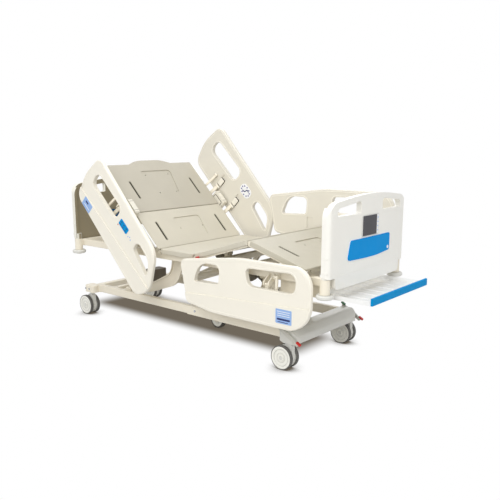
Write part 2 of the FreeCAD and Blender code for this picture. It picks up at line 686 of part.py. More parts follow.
def rail_arm_ears(x, points):
    """The pair of ears that carries one rail arm's shaft; points lie in the YZ plane."""
    ears = []
    half = RAIL_ARM_WIDTH / 2 + SIDE_GAP
    for start in (x - half - LUG_THICKNESS, x + half):
        ear = plate_yz(points, start, start + LUG_THICKNESS)
        bore = rod(vector(start - 1, -RAIL_PIVOT_Y, RAIL_PIVOT_Z),
                   vector(start + LUG_THICKNESS + 1, -RAIL_PIVOT_Y, RAIL_PIVOT_Z),
                   RAIL_SHAFT_RADIUS + PIN_FIT)
        ears.append(ear.cut(bore))
    return ears


def rail_link_ear(x, points):
    """Ear and stub pin of a rail's control link."""
    start = x - RAIL_LINK_WIDTH / 2 - SIDE_GAP - LUG_THICKNESS
    ear = plate_yz(points, start, start + LUG_THICKNESS)
    level = RAIL_PIVOT_Z + RAIL_LINK_RISE
    pin = rod(vector(start, -RAIL_PIVOT_Y, level),
              vector(x + RAIL_LINK_WIDTH / 2 + 3, -RAIL_PIVOT_Y, level), RAIL_PIN_RADIUS)
    return fuse([ear, pin])


def foot_rail_ears():
    """Ears on the outside of a frame tube, under the deck tubes."""
    outer = FRAME_OUTER_Y
    arm_points = [(-outer, FRAME_BOTTOM + 32, 0), (-outer, FRAME_BOTTOM + 1, 0),
                  (-RAIL_PIVOT_Y + 13, RAIL_PIVOT_Z - 13, 12),
                  (-RAIL_PIVOT_Y - 13, RAIL_PIVOT_Z - 13, 12),
                  (-RAIL_PIVOT_Y - 13, RAIL_PIVOT_Z + 18, 12)]
    level = RAIL_PIVOT_Z + RAIL_LINK_RISE
    link_points = [(-outer, level + 9, 0), (-outer, level - 14, 0),
                   (-RAIL_PIVOT_Y - 10, level - 12, 9), (-RAIL_PIVOT_Y - 10, level + 10, 9)]
    ears = []
    for x in FOOT_RAIL_ARMS:
        ears += rail_arm_ears(x, arm_points)
    ears.append(rail_link_ear(FOOT_RAIL_ARMS[1] + LINK_OFFSET, link_points))
    return ears


def frame_brackets():
    """Everything that is welded to the frame tubes and carries a pin."""
    solids = []
    for x in (HEAD_ARM_X, FOOT_ARM_X):
        solids.append(hanging_ears(nearest_cross(x + LIFT_ANCHOR.x), lift_actuator_points(x)[0]))
        pin = rod_y(x + ARM_RUN, ARM_BASE_Z + ARM_RISE, -FRAME_INNER_Y, -FRAME_INNER_Y + 40,
                    LIFT_PIN_RADIUS)
        solids += both_sides(pin)
    solids.append(hanging_ears(nearest_cross(BACK_ANCHOR.x), BACK_ANCHOR))
    solids.append(hanging_ears(nearest_cross(KNEE_ANCHOR.x), KNEE_ANCHOR))
    for x in (BACK_HINGE_X, THIGH_HINGE_X):
        solids += both_sides(deck_hinge_ear(x))
    for ear in foot_rail_ears():
        solids += both_sides(ear)
    solids += both_sides(tray_guide())
    solids.append(cpr_pin())
    return solids


def nearest_cross(x):
    return min(FRAME_CROSS_X, key=lambda cross: abs(cross - x))


def tray_guide():
    """Hanging channel that a tray edge slides in."""
    web = TRAY_HALF_WIDTH + 2
    lip = TRAY_BOTTOM - SEAT_GAP
    points = [(-web - 30, FRAME_BOTTOM, 0), (-web, FRAME_BOTTOM, 0), (-web, lip, 0),
              (-web + 16, lip, 0), (-web + 16, lip - 5, 0), (-web - 6, lip - 5, 0),
              (-web - 6, FRAME_BOTTOM - 6, 0), (-web - 30, FRAME_BOTTOM - 6, 0)]
    return plate_yz(points, TRAY_GUIDE_HEAD_X, TRAY_GUIDE_FOOT_X)


def corner_posts():
    """End tubes with a socket post at each corner and the bumper axles under them."""
    solids = []
    level = FRAME_BOTTOM + FRAME_HEIGHT / 2
    for x, inset in ((CORNER_HEAD_X, END_TUBE_INSET), (CORNER_FOOT_X, -END_TUBE_INSET)):
        tube = square_tube(vector(x + inset, -CORNER_Y, level), vector(x + inset, CORNER_Y, level),
                           END_TUBE_WIDTH, FRAME_HEIGHT, TUBE_WALL, 6.0)
        posts = []
        sockets = []
        for side in (-1, 1):
            foot = vector(x, side * CORNER_Y, POST_BOTTOM)
            posts.append(rod(foot, foot + Z_AXIS * (POST_TOP - POST_BOTTOM), POST_RADIUS))
            drop = BUMPER_HEIGHT + 2 * SIDE_GAP
            posts.append(rod(foot - Z_AXIS * (drop + 6), foot + Z_AXIS, BUMPER_AXLE_RADIUS))
            posts.append(rod(foot - Z_AXIS * (drop + 6), foot - Z_AXIS * drop, 16.0))
            sockets.append(rod(foot + Z_AXIS * (POST_TOP - POST_BOTTOM - SOCKET_DEPTH),
                               foot + Z_AXIS * (POST_TOP - POST_BOTTOM + 1),
                               PEG_RADIUS + PIN_FIT))
        end = fuse([tube] + posts)
        for socket in sockets:
            end = end.cut(socket)
        solids.append(end)
    return solids


def bumper_roller(x, side):
    top = POST_BOTTOM - SIDE_GAP
    foot = vector(x, side * CORNER_Y, top - BUMPER_HEIGHT)
    roller = rod(foot, foot + Z_AXIS * BUMPER_HEIGHT, BUMPER_RADIUS)
    roller = roller.makeChamfer(6.0, [e for e in roller.Edges if e.BoundBox.ZLength < 0.1])
    return [roller.cut(rod(foot - Z_AXIS, foot + Z_AXIS * (BUMPER_HEIGHT + 1),
                           BUMPER_AXLE_RADIUS + PIN_FIT))]


def control_box():
    """Power and control box over the head lift pivot, on its bracket."""
    x_end = HEAD_ARM_X + 45
    x_start = x_end - 88
    body = box(x_start, x_end, -70, 70, 276, 364, 10.0)
    body = body.makeFillet(6.0, [e for e in body.Edges if e.BoundBox.ZMin > 363])
    bracket_back = BASE_CROSS_X[1] - 14
    profile = [(bracket_back, BASE_RAIL_BOTTOM + CROSS_TUBE_HEIGHT, 0),
               (bracket_back, 276, 0), (x_end, 276, 0), (x_end, 270, 0),
               (bracket_back + 6, 270, 0), (bracket_back + 6, BASE_RAIL_BOTTOM + CROSS_TUBE_HEIGHT, 0)]
    return [body, plate_xz(profile, -50, 50)]


# Mattress deck, built flat and then tilted


def deck_panel(x_start, x_end, recess, slots, holes):
    """Moulded panel: top plate, skirt round the edge, recess, slots and small holes."""
    half = DECK_HALF_WIDTH
    under = DECK_TOP - PANEL_THICKNESS
    panel = box(x_start, x_end, -half, half, DECK_TOP - PANEL_SKIRT, DECK_TOP, 12.0)
    inside = box(x_start + PANEL_WALL, x_end - PANEL_WALL, -half + PANEL_WALL,
                 half - PANEL_WALL, DECK_TOP - PANEL_SKIRT - 1, under, 5.0)
    panel = panel.cut(inside)
    tube_outer = DECK_TUBE_OUTER_Y + SIDE_GAP
    notch = box(x_start - 1, x_end + 1, -tube_outer, -(FRAME_OUTER_Y - HINGE_EAR - 2 * SIDE_GAP),
                DECK_TOP - PANEL_SKIRT - 1, under)
    for cut in both_sides(notch):
        panel = panel.cut(cut)
    rim = [e for e in panel.Edges if e.BoundBox.ZMin > DECK_TOP - 0.01]
    panel = panel.makeChamfer(3.0, rim)
    if recess:
        panel = panel.cut(plate_xy(recess, DECK_TOP - RECESS_DEPTH, DECK_TOP + 1))
    for x, y, length, width in slots:
        panel = panel.cut(box(x - length / 2, x + length / 2, y - width / 2, y + width / 2,
                              under - 1, DECK_TOP + 1, width / 2 - 0.01))
    for x, y in holes:
        panel = panel.cut(rod(vector(x, y, under - 1), vector(x, y, DECK_TOP + 1), 5.0))
    return panel


def back_x(along_back):
    return BACK_HINGE_X - along_back


def side_slots(x, length):
    return [(x, y, length, SLOT_WIDTH) for y in (-SLOT_Y, SLOT_Y)]


def back_panel_lower():
    recess = [(back_x(66), -104, 20), (back_x(66), 104, 20), (back_x(248), 136, 24),
              (back_x(248), -136, 24)]
    holes = [(back_x(152), y) for y in (-112, 112)]
    return [back_placed(deck_panel(back_x(BACK_SEAM - 2), back_x(PANEL_GAP / 2), recess,
                                   side_slots(back_x(150), 160), holes))]


def back_panel_upper():
    """Upper panel, with the arched lip beyond its top edge."""
    top = BACK_BARS[-1]
    recess = [(back_x(476), -100, 20), (back_x(476), 100, 20), (back_x(top), 152, 24),
              (back_x(top), -152, 24)]
    holes = [(back_x(top - 37), y) for y in (-112, 112)] + [(back_x(488), y) for y in (-84, 84)]
    panel = deck_panel(back_x(BACK_LENGTH), back_x(BACK_SEAM + 2), recess,
                       side_slots(back_x(528), 160), holes)
    edge = back_x(BACK_LENGTH)
    lip = plate_xy([(edge + 4, -215, 0), (edge + 4, 215, 0), (edge - 34, 120, 260),
                    (edge - 34, -120, 260)], DECK_TOP - PANEL_THICKNESS, DECK_TOP - 2)
    return [back_placed(fuse([panel, lip]))]


def seat_panel():
    """Fixed panel between the back and the thigh, on ribs over the frame tubes."""
    x_start = BACK_HINGE_X + 28
    x_end = THIGH_HINGE_X - 14
    panel = deck_panel(x_start, x_end, None, [], [])
    under = DECK_TOP - PANEL_THICKNESS
    ribs = [box(x_start + PANEL_WALL, x_end - PANEL_WALL, y - 6, y + 6, FRAME_TOP, under)
            for y in (-(FRAME_OUTER_Y - 28), FRAME_OUTER_Y - 28)]
    return [fuse([panel] + ribs)]


def thigh_panel():
    x = THIGH_HINGE_X
    recess = [(x + 120, -140, 24), (x + 120, 140, 24), (x + 350, 140, 24), (x + 350, -140, 24)]
    return [thigh_placed(deck_panel(x + PANEL_GAP / 2, x + THIGH_LENGTH - PANEL_GAP / 2, recess,
                                    side_slots(x + 235, 150), []))]


def calf_panel():
    x = THIGH_HINGE_X + THIGH_LENGTH
    recess = [(x + 120, -130, 24), (x + 120, 130, 24), (x + 330, 130, 24), (x + 330, -130, 24)]
    holes = [(x + 175, y) for y in (-84, 84)]
    return [calf_placed(deck_panel(x + PANEL_GAP / 2, x + CALF_LENGTH, recess,
                                   side_slots(x + 212, 150), holes))]


def deck_tube(x_start, x_end, y_outer, width):
    """Side tube of a deck section, right under its panel."""
    top = DECK_TOP - PANEL_THICKNESS
    return box(x_start, x_end, -y_outer, -y_outer + width, top - DECK_TUBE_HEIGHT, top)


def deck_bar(x):
    """Flat cross bar that clears the frame tubes when the section lies flat."""
    top = DECK_TOP - PANEL_THICKNESS
    inner = DECK_TUBE_OUTER_Y - DECK_TUBE_WIDTH
    return box(x - 18, x + 18, -inner, inner, FRAME_TOP + 3, top)


def hinge_eye(x, y_start, y_end):
    return rod_y(x, DECK_HINGE_Z, y_start, y_end, HINGE_BELOW_DECK - PANEL_THICKNESS)


def section_frame(x_start, x_end, bars, eye_x):
    """Ladder of two side tubes and cross bars, with hinge eyes at one end."""
    outer = DECK_TUBE_OUTER_Y
    tube = deck_tube(x_start, x_end, outer, DECK_TUBE_WIDTH)
    eye = hinge_eye(eye_x, -outer, -outer + DECK_TUBE_WIDTH)
    pieces = both_sides(tube) + both_sides(eye) + [deck_bar(x) for x in bars]
    frame = fuse(pieces)
    return frame.cut(rod_y(eye_x, DECK_HINGE_Z, -500, 500, HINGE_PIN_RADIUS + PIN_FIT))


def head_rail_ears():
    """Ears under a back tube for the head rail's arms and link."""
    tube = DECK_TUBE_OUTER_Y
    under = DECK_TOP - PANEL_THICKNESS - DECK_TUBE_HEIGHT + 2
    arm_points = [(-tube + 20, under, 0), (-tube, under, 0),
                  (-RAIL_PIVOT_Y - 13, RAIL_PIVOT_Z + 18, 12),
                  (-RAIL_PIVOT_Y - 13, RAIL_PIVOT_Z - 13, 12),
                  (-RAIL_PIVOT_Y + 13, RAIL_PIVOT_Z - 13, 12)]
    level = RAIL_PIVOT_Z + RAIL_LINK_RISE
    link_points = [(-tube + 20, under, 0), (-tube, under, 0),
                   (-RAIL_PIVOT_Y - 10, level + 6, 6), (-RAIL_PIVOT_Y - 10, level - 11, 9),
                   (-RAIL_PIVOT_Y + 10, level - 11, 9)]
    ears = []
    for reach in HEAD_RAIL_ARMS:
        ears += rail_arm_ears(back_x(reach), arm_points)
    ears.append(rail_link_ear(back_x(HEAD_RAIL_ARMS[1] + LINK_OFFSET), link_points))
    return ears


def edge_rods():
    """Round rods along the back's edge, broken where the rail arms swing through."""
    y = -(DECK_TUBE_OUTER_Y + 14)
    level = DECK_TOP - PANEL_SKIRT - EDGE_ROD_RADIUS
    pieces = []
    stretches = ((24.0, HEAD_RAIL_ARMS[0] - 36),
                 (HEAD_RAIL_ARMS[1] + LINK_OFFSET + 30, BACK_LENGTH - 20))
    for start, end in stretches:
        stretch = [rod(vector(back_x(end), y, level), vector(back_x(start), y, level),
                       EDGE_ROD_RADIUS)]
        for reach in (start + 20, end - 20):
            stretch.append(box(back_x(reach) - 8, back_x(reach) + 8, y, y + 16, level - 3, level + 3))
        pieces.append(fuse(stretch))
    return pieces


def back_frame():
    """Back ladder in its tubes, tilted, with the slotted cheeks of its actuator."""
    outer = DECK_TUBE_OUTER_Y
    tube = fuse([deck_tube(back_x(BACK_LENGTH - 20), back_x(8), outer, DECK_TUBE_WIDTH),
                 hinge_eye(BACK_HINGE_X, -outer, -outer + DECK_TUBE_WIDTH)])
    tube = tube.cut(rod_y(BACK_HINGE_X, DECK_HINGE_Z, -500, 500, HINGE_PIN_RADIUS + PIN_FIT))
    pieces = both_sides(tube) + [deck_bar(back_x(reach)) for reach in BACK_BARS]
    for piece in head_rail_ears() + edge_rods():
        pieces += both_sides(piece.cut(tube))
    pivot = vector(BACK_HINGE_X, 0, DECK_HINGE_Z)
    root = back_placed(Part.Vertex(back_x(BACK_BARS[0]), 0, CHEEK_ROOT_Z)).Point
    root = vector(root.x, BACK_ACTUATOR_Y, root.z)
    crank_bar = back_placed(deck_bar(back_x(BACK_BARS[0])))
    cheeks = slotted_cheeks(root, BACK_CRANK, pivot, BACK_SLOT, 22.0)
    return [back_placed(piece) for piece in pieces] + [cheek.cut(crank_bar) for cheek in cheeks]


def thigh_frame():
    """Thigh ladder, tilted, with knee eyes and the slotted cheeks of its actuator."""
    x = THIGH_HINGE_X
    knee = x + THIGH_LENGTH
    flat = section_frame(x + 8, knee - 18, [x + 36, x + 300], x)
    tongue_y = DECK_TUBE_OUTER_Y - DECK_TUBE_WIDTH / 2
    tongue = fuse([deck_tube(knee - 20, knee, tongue_y + 5, 10.0),
                   hinge_eye(knee, -tongue_y - 5, -tongue_y + 5)])
    tongue = tongue.cut(rod_y(knee, DECK_HINGE_Z, -500, 500, HINGE_PIN_RADIUS + PIN_FIT))
    tilted = thigh_placed(fuse([flat] + both_sides(tongue)))
    pivot = vector(x, 0, DECK_HINGE_Z)
    root = thigh_placed(Part.Vertex(x + 36, 0, CHEEK_ROOT_Z)).Point
    root = vector(root.x, KNEE_ACTUATOR_Y, root.z)
    return [fuse([tilted] + slotted_cheeks(root, KNEE_CRANK, pivot, KNEE_SLOT, 20.0))]


def calf_frame():
    """Calf ladder; its forked ends hold the knee pins."""
    knee = THIGH_HINGE_X + THIGH_LENGTH
    outer = DECK_TUBE_OUTER_Y
    tube = deck_tube(knee + 18, knee + CALF_LENGTH - 16, outer, DECK_TUBE_WIDTH)
    parts = both_sides(tube) + [deck_bar(knee + 60), deck_bar(knee + CALF_LENGTH - 60)]
    for y in (outer, outer - DECK_TUBE_WIDTH + 6):
        cheek = fuse([deck_tube(knee, knee + 20, y, 6.0), hinge_eye(knee, -y, -y + 6)])
        parts += both_sides(cheek)
    pin = rod_y(knee, DECK_HINGE_Z, -outer, -outer + DECK_TUBE_WIDTH, HINGE_PIN_RADIUS)
    return [calf_placed(fuse(parts + both_sides(pin)))]


# Side rails


def rail_points(points, origin_x, direction, level):
    return [(origin_x + direction * a, level + b, radius) for a, b, radius in points]


def rail_geometry(end):
    """Origin, direction, inner face, half travel, arm places and outlines of one rail."""
    if end == "head":
        return (BACK_HINGE_X, -1, HEAD_RAIL_INNER_Y, HEAD_RAIL_HALF_TRAVEL, HEAD_RAIL_ARMS,
                HEAD_RAIL_OUTLINE, HEAD_RAIL_HOLES, HEAD_RAIL_LEDGE)
    return (0.0, 1, FOOT_RAIL_INNER_Y, FOOT_RAIL_HALF_TRAVEL, FOOT_RAIL_ARMS,
            FOOT_RAIL_OUTLINE, FOOT_RAIL_HOLES, FOOT_RAIL_LEDGE)


def rail_pin_y(end):
    return rail_geometry(end)[2] - RAIL_BOSS_RADIUS - RAIL_BOSS_GAP


def rail_lug(x, level, inner_y, pin_y, width, open_side):
    """Pair of lugs on the inner face, with the pin between them."""
    half = width / 2 + RUNNING_GAP
    pieces = []
    starts = [x - half - LUG_THICKNESS, x + half][:1 if open_side else 2]
    for start in starts:
        eye = rod(vector(start, -pin_y, level), vector(start + LUG_THICKNESS, -pin_y, level),
                  RAIL_BOSS_RADIUS)
        foot = box(start, start + LUG_THICKNESS, -inner_y - 6, -pin_y,
                   level - RAIL_BOSS_RADIUS, level + RAIL_BOSS_RADIUS)
        pieces += [eye, foot]
    pin_end = x + half + (3 if open_side else LUG_THICKNESS)
    pieces.append(rod(vector(x - half - LUG_THICKNESS, -pin_y, level),
                      vector(pin_end, -pin_y, level), RAIL_PIN_RADIUS))
    return pieces


def side_rail(end, raised):
    """Right-hand rail: outline, grip holes, ledge, strap pockets and arm lugs."""
    origin, direction, inner, travel, arms, outline, holes, ledge = rail_geometry(end)
    level = DECK_TOP + (travel if raised else -travel)
    outer = inner + RAIL_THICKNESS
    points = rail_points(outline, origin, direction, level)
    rail = plate_xz(points, -outer, -inner)
    rail = rail.makeChamfer(5.0, [e for e in rail.Edges if e.BoundBox.YLength < 0.1])
    step = plate_xz(points, -outer - RAIL_LEDGE, -outer + 8)
    step = step.makeChamfer(4.0, [e for e in step.Edges if e.BoundBox.YMax < -outer - RAIL_LEDGE + 0.1])
    below = rail_points(ledge, origin, direction, level)
    rail = fuse([rail, step.common(plate_xz(below, -outer - RAIL_LEDGE - 1, -outer + 9))])
    for hole in holes:
        rail = rail.cut(plate_xz(rail_points(hole, origin, direction, level), -outer - 20, -inner + 1))
    pin_y = rail_pin_y(end)
    pin_level = level - RAIL_PIVOT_DROP
    lugs = []
    for reach in arms:
        x = origin + direction * reach
        rail = rail.cut(box(x - 24, x + 24, -inner - 5, -inner + 1, pin_level - 40, pin_level + 110))
        lugs += rail_lug(x, pin_level, inner, pin_y, RAIL_ARM_WIDTH, False)
    x = origin + direction * (arms[1] + LINK_OFFSET)
    lugs += rail_lug(x, pin_level + RAIL_LINK_RISE, inner, pin_y, RAIL_LINK_WIDTH, True)
    return fuse([rail] + lugs)


def swing_bar(x, width, start, end, thickness, bores):
    """Bar in the YZ plane between two pins, with a boss and a bore at each end."""
    run = end - start
    across = vector(0, -run.z, run.y).normalize() * (thickness / 2)
    corners = [start + across, end + across, end - across, start - across]
    bar = plate_yz([(c.y, c.z, 0) for c in corners], x - width / 2, x + width / 2)
    left = X_AXIS * (x - width / 2)
    right = X_AXIS * (x + width / 2)
    bar = fuse([bar] + [rod(p + left, p + right, RAIL_BOSS_RADIUS) for p in (start, end)])
    for point, bore in zip((start, end), bores):
        if bore > 0:
            bar = bar.cut(rod(point + left - X_AXIS, point + right + X_AXIS, bore))
    return bar


def rail_arms(end, raised):
    """Two swing arms on their shafts."""
    origin, direction, inner, travel, arms = rail_geometry(end)[:5]
    lift = travel if raised else -travel
    start = vector(0, -RAIL_PIVOT_Y, RAIL_PIVOT_Z)
    tip = vector(0, -rail_pin_y(end), RAIL_PIVOT_Z + lift)
    pieces = []
    half = RAIL_ARM_WIDTH / 2
    for reach in arms:
        x = origin + direction * reach
        bar = swing_bar(x, RAIL_ARM_WIDTH, start, tip, RAIL_ARM_THICKNESS,
                        (0, RAIL_PIN_RADIUS + PIN_FIT))
        shaft_reach = half + SIDE_GAP + LUG_THICKNESS + 1
        shaft = rod(start + X_AXIS * (x - shaft_reach), start + X_AXIS * (x + shaft_reach),
                    RAIL_SHAFT_RADIUS)
        pieces.append(fuse([bar, shaft]))
    return pieces


def rail_link(end, raised):
    """Control link that keeps the rail upright, loose at its rail end."""
    origin, direction, inner, travel, arms = rail_geometry(end)[:5]
    lift = travel if raised else -travel
    start = vector(0, -RAIL_PIVOT_Y, RAIL_PIVOT_Z + RAIL_LINK_RISE)
    tip = vector(0, -rail_pin_y(end), RAIL_PIVOT_Z + RAIL_LINK_RISE + lift)
    x = origin + direction * (arms[1] + LINK_OFFSET)
    return [swing_bar(x, RAIL_LINK_WIDTH, start, tip, RAIL_ARM_THICKNESS - 2,
                      (RAIL_PIN_RADIUS + PIN_FIT, RAIL_PIN_RADIUS + OPEN_PIVOT_PLAY))]


def rail_nodes():
    """The two right rails are down and the two left rails are up."""
    nodes = {}
    for end in ("head", "foot"):
        for side, raised in (("right", False), ("left", True)):
            solids = {"rail": [side_rail(end, raised)], "rail_arms": rail_arms(end, raised),
                      "rail_link": rail_link(end, raised)}
            for name, pieces in solids.items():
                if raised:
                    pieces = [flipped(piece) for piece in pieces]
                if end == "head":
                    pieces = [back_placed(piece) for piece in pieces]
                nodes[f"{end}_{side}_{name}"] = pieces
    return nodes


# Head and foot boards


def board_plan():
    """Plan of the foot board: bulged face, rounded corners, wings turned inboard."""
    face = BOARD_FACE_X
    side_x = face - BOARD_BULGE
    half = BOARD_HALF_WIDTH
    wall = BOARD_WING_THICKNESS
    wing = BOARD_WING_X

    def point(x, y):
        return vector(x, y, 0)

    def arc(start, middle, end):
        return Part.Arc(point(*start), point(*middle), point(*end)).toShape()

    def line(start, end):
        return Part.LineSegment(point(*start), point(*end)).toShape()

    turn = 26.0
    inner_x = side_x - BOARD_THICKNESS
    inner_half = half - wall
    slant = turn * (1 - math.sqrt(0.5))
    edges = [line((wing, -half), (side_x - turn, -half)),
             arc((side_x - turn, -half), (side_x - slant, -half + slant), (side_x, -half + turn)),
             arc((side_x, -half + turn), (face, 0), (side_x, half - turn)),
             arc((side_x, half - turn), (side_x - slant, half - slant), (side_x - turn, half)),
             line((side_x - turn, half), (wing, half)),
             line((wing, half), (wing, inner_half)),
             line((wing, inner_half), (inner_x, inner_half)),
             arc((inner_x, inner_half), (inner_x + BOARD_BULGE, 0), (inner_x, -inner_half)),
             line((inner_x, -inner_half), (wing, -inner_half)),
             line((wing, -inner_half), (wing, -half))]
    return Part.Face(Part.Wire(edges))


def board():
    """Foot board with its hand holes and the pegs that drop into the corner posts."""
    base_z = min(point[1] for point in BOARD_FRONT_OUTLINE)
    prism = board_plan()
    prism.translate(Z_AXIS * (base_z - 10))
    prism = prism.extrude(Z_AXIS * 600)
    front = plate_yz(BOARD_FRONT_OUTLINE, BOARD_WING_X - 20, BOARD_FACE_X + 20)
    body = prism.common(front)
    for side in (-1, 1):
        grip = [(side * a, b, radius) for a, b, radius in BOARD_GRIP]
        body = body.cut(plate_yz(grip, BOARD_WING_X - 20, BOARD_FACE_X + 20))
    pegs = []
    for side in (-1, 1):
        foot = vector(CORNER_FOOT_X, side * CORNER_Y, POST_TOP + SEAT_GAP)
        pegs.append(rod(foot, foot + Z_AXIS * 40, POST_RADIUS - 5))
        pegs.append(rod(foot - Z_AXIS * PEG_LENGTH, foot + Z_AXIS, PEG_RADIUS))
    return fuse([body] + pegs)


def head_board():
    """The same board, turned about the middle of the bed."""
    shape = board()
    return [shape.mirror(vector(BED_MIDDLE_X, 0, 0), X_AXIS)]


def footboard_screen():
    """Display in its bezel on the outer face of the foot board."""
    low_y = SCREEN_MIDDLE_Y - SCREEN_WIDTH / 2
    high_y = SCREEN_MIDDLE_Y + SCREEN_WIDTH / 2
    top = SCREEN_BOTTOM_Z + SCREEN_HEIGHT
    return [plate_yz([(low_y, SCREEN_BOTTOM_Z, 8), (high_y, SCREEN_BOTTOM_Z, 8),
                      (high_y, top, 8), (low_y, top, 8)],
                     BOARD_FACE_X - SCREEN_SEAT, BOARD_FACE_X + SCREEN_STAND)]


def footboard_plate():
    """Blue plate below the display, its lower edge curved."""
    return [plate_yz(PLATE_OUTLINE, BOARD_FACE_X - PLATE_SEAT, BOARD_FACE_X + PLATE_STAND)]


# Linen tray and small controls


def tray_frame():
    """Shallow sheet tray with raised edges and pressed ribs."""
    x_end = TRAY_FRONT_X - TRAY_FRONT_THICKNESS
    x_start = x_end - TRAY_LENGTH
    half = TRAY_HALF_WIDTH
    bottom = TRAY_BOTTOM
    tray = box(x_start, x_end, -half, half, bottom, bottom + 26)
    tray = tray.cut(box(x_start + TRAY_SHEET, x_end - TRAY_SHEET, -half + TRAY_SHEET,
                        half - TRAY_SHEET, bottom + TRAY_SHEET, bottom + 27))
    ribs = [box(x_start + 60, x_end - 60, y - 5, y + 5, bottom + TRAY_SHEET, bottom + TRAY_SHEET + 3)
            for y in (-200, -100, 0, 100, 200)]
    return [fuse([tray] + ribs)]


def tray_front():
    """Blue pull bar across the tray."""
    x_end = TRAY_FRONT_X
    half = TRAY_FRONT_HALF_WIDTH
    bottom = TRAY_BOTTOM + 3
    bar = box(x_end - TRAY_FRONT_THICKNESS, x_end, -half, half, bottom,
              bottom + TRAY_FRONT_HEIGHT, 4.0)
    return [bar.makeChamfer(2.0, [e for e in bar.Edges if e.BoundBox.ZLength < 0.1])]


def cpr_handle():
    """Red quick-release lever beside the seat."""
    start = vector(CPR_X, 0, CPR_Z)
    tip = vector(CPR_X + 62, 0, CPR_Z + 42)
    lever = link_bar(start, tip, -CPR_Y - 5, -CPR_Y + 5, 9.0, 6.0)
    grip = link_bar(along(start, tip, 46), tip, -CPR_Y - 7, -CPR_Y + 7, 9.0, 9.0)
    lever = fuse([lever, grip])
    return [lever.cut(rod_y(CPR_X, CPR_Z, -CPR_Y - 9, -CPR_Y + 9, RAIL_PIN_RADIUS + PIN_FIT))]


def cpr_pin():
    return rod_y(CPR_X, CPR_Z, -CPR_Y - 7, -FRAME_OUTER_Y, RAIL_PIN_RADIUS)


def power_cable():
    """Cable that hangs between a frame cross tube and the seat."""
    y = -222.0
    x = FRAME_CROSS_X[1] + CROSS_TUBE_WIDTH / 2 - 4
    route = [vector(x, y, 574), vector(x + 30, y, 566), vector(x + 68, y, 546),
             vector(x + 118, y, 538), vector(x + 170, y, 546), vector(x + 206, y, 570),
             vector(x + 222, y, 596), vector(x + 226, y, DECK_TOP - PANEL_THICKNESS)]
    edges = []
    start = route[0]
    for index in range(1, len(route) - 1):
        corner = route[index]
        back = route[index - 1] - corner
        ahead = route[index + 1] - corner
        turn = math.pi - back.getAngle(ahead)
        radius = 0.45 * min(back.Length, ahead.Length) / math.tan(turn / 2)
        inset = radius * math.tan(turn / 2)
        back = back.normalize()
        ahead = ahead.normalize()
        centre_reach = radius / math.cos(turn / 2) - radius
        middle = corner + (back + ahead).normalize() * centre_reach
        edges.append(Part.LineSegment(start, corner + back * inset).toShape())
        edges.append(Part.Arc(corner + back * inset, middle, corner + ahead * inset).toShape())
        start = corner + ahead * inset
    edges.append(Part.LineSegment(start, route[-1]).toShape())
    path = Part.Wire(edges)
    ring = Part.Wire(Part.makeCircle(CABLE_RADIUS, route[0], route[1] - route[0]))
    return [path.makePipeShell([ring], True, True)]


def all_nodes():
    nodes = {
        "base_side_rails": base_side_rails() + base_corner_castings(),
        "base_cross_tubes": base_cross_tubes() + fifth_wheel_bracket(),
        "base_foot_cover": base_foot_cover(),
        "control_box": control_box(),
        "fifth_wheel": fifth_wheel(),
        "brake_pedals": brake_pedals(),
        "pedal_pads": pedal_pads(),
        "head_lift_arms": lift_arms(HEAD_ARM_X, LIFT_PIN_RADIUS + PIN_FIT),
        "foot_lift_arms": lift_arms(FOOT_ARM_X, LIFT_PIN_RADIUS + OPEN_PIVOT_PLAY),
        "upper_frame": upper_frame(),
        "frame_brackets": frame_brackets(),
        "corner_posts": corner_posts(),
        "seat_panel": seat_panel(),
        "back_frame": back_frame(),
        "back_panel_lower": back_panel_lower(),
        "back_panel_upper": back_panel_upper(),
        "thigh_frame": thigh_frame(),
        "thigh_panel": thigh_panel(),
        "calf_frame": calf_frame(),
        "calf_panel": calf_panel(),
        "headboard": head_board(),
        "footboard": [board()],
        "footboard_screen": footboard_screen(),
        "footboard_plate": footboard_plate(),
        "tray_frame": tray_frame(),
        "tray_front": tray_front(),
        "cpr_handle": cpr_handle(),
        "power_cable": power_cable(),
    }
    for end, stem_x, stem_top in (("head", HEAD_STEM_X, CASTING_TOP - 13),
                                  ("foot", FOOT_STEM_X, COVER_BOTTOM + 40)):
        for name, side in (("right", -1), ("left", 1)):
            nodes[f"caster_{end}_{name}_housing"] = caster_housing(stem_x, side, stem_top)
            nodes[f"caster_{end}_{name}_wheels"] = caster_wheels(stem_x, side)
    for end, x in (("head", CORNER_HEAD_X), ("foot", CORNER_FOOT_X)):
        for name, side in (("right", -1), ("left", 1)):
            nodes[f"bumper_{end}_{name}"] = bumper_roller(x, side)
    for end, x, side in (("head", HEAD_ARM_X, 1), ("foot", FOOT_ARM_X, -1)):
        anchor, pin = lift_actuator_points(x)
        nodes[f"{end}_lift_actuator_body"] = actuator_body(anchor, pin, 232.0, side)
        nodes[f"{end}_lift_actuator_rod"] = actuator_rod(anchor, pin, 134.0)
    nodes["back_actuator_body"] = actuator_body(BACK_ANCHOR, BACK_CRANK, 330.0, 1)
    nodes["back_actuator_rod"] = actuator_rod(BACK_ANCHOR, BACK_CRANK, 140.0)
    nodes["knee_actuator_body"] = actuator_body(KNEE_ANCHOR, KNEE_CRANK, 256.0, -1)
    nodes["knee_actuator_rod"] = actuator_rod(KNEE_ANCHOR, KNEE_CRANK, 92.0)
    nodes.update(rail_nodes())
    return nodes


os.makedirs("parts", exist_ok=True)
for node, solids in all_nodes().items():
    shape = solids[0] if len(solids) == 1 else Part.makeCompound(solids)
    if not shape.isValid():
        print("not valid:", node)
    shape.exportStep(f"parts/{node}.step")
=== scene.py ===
import bpy
import bmesh
import math
from mathutils import Matrix, Vector


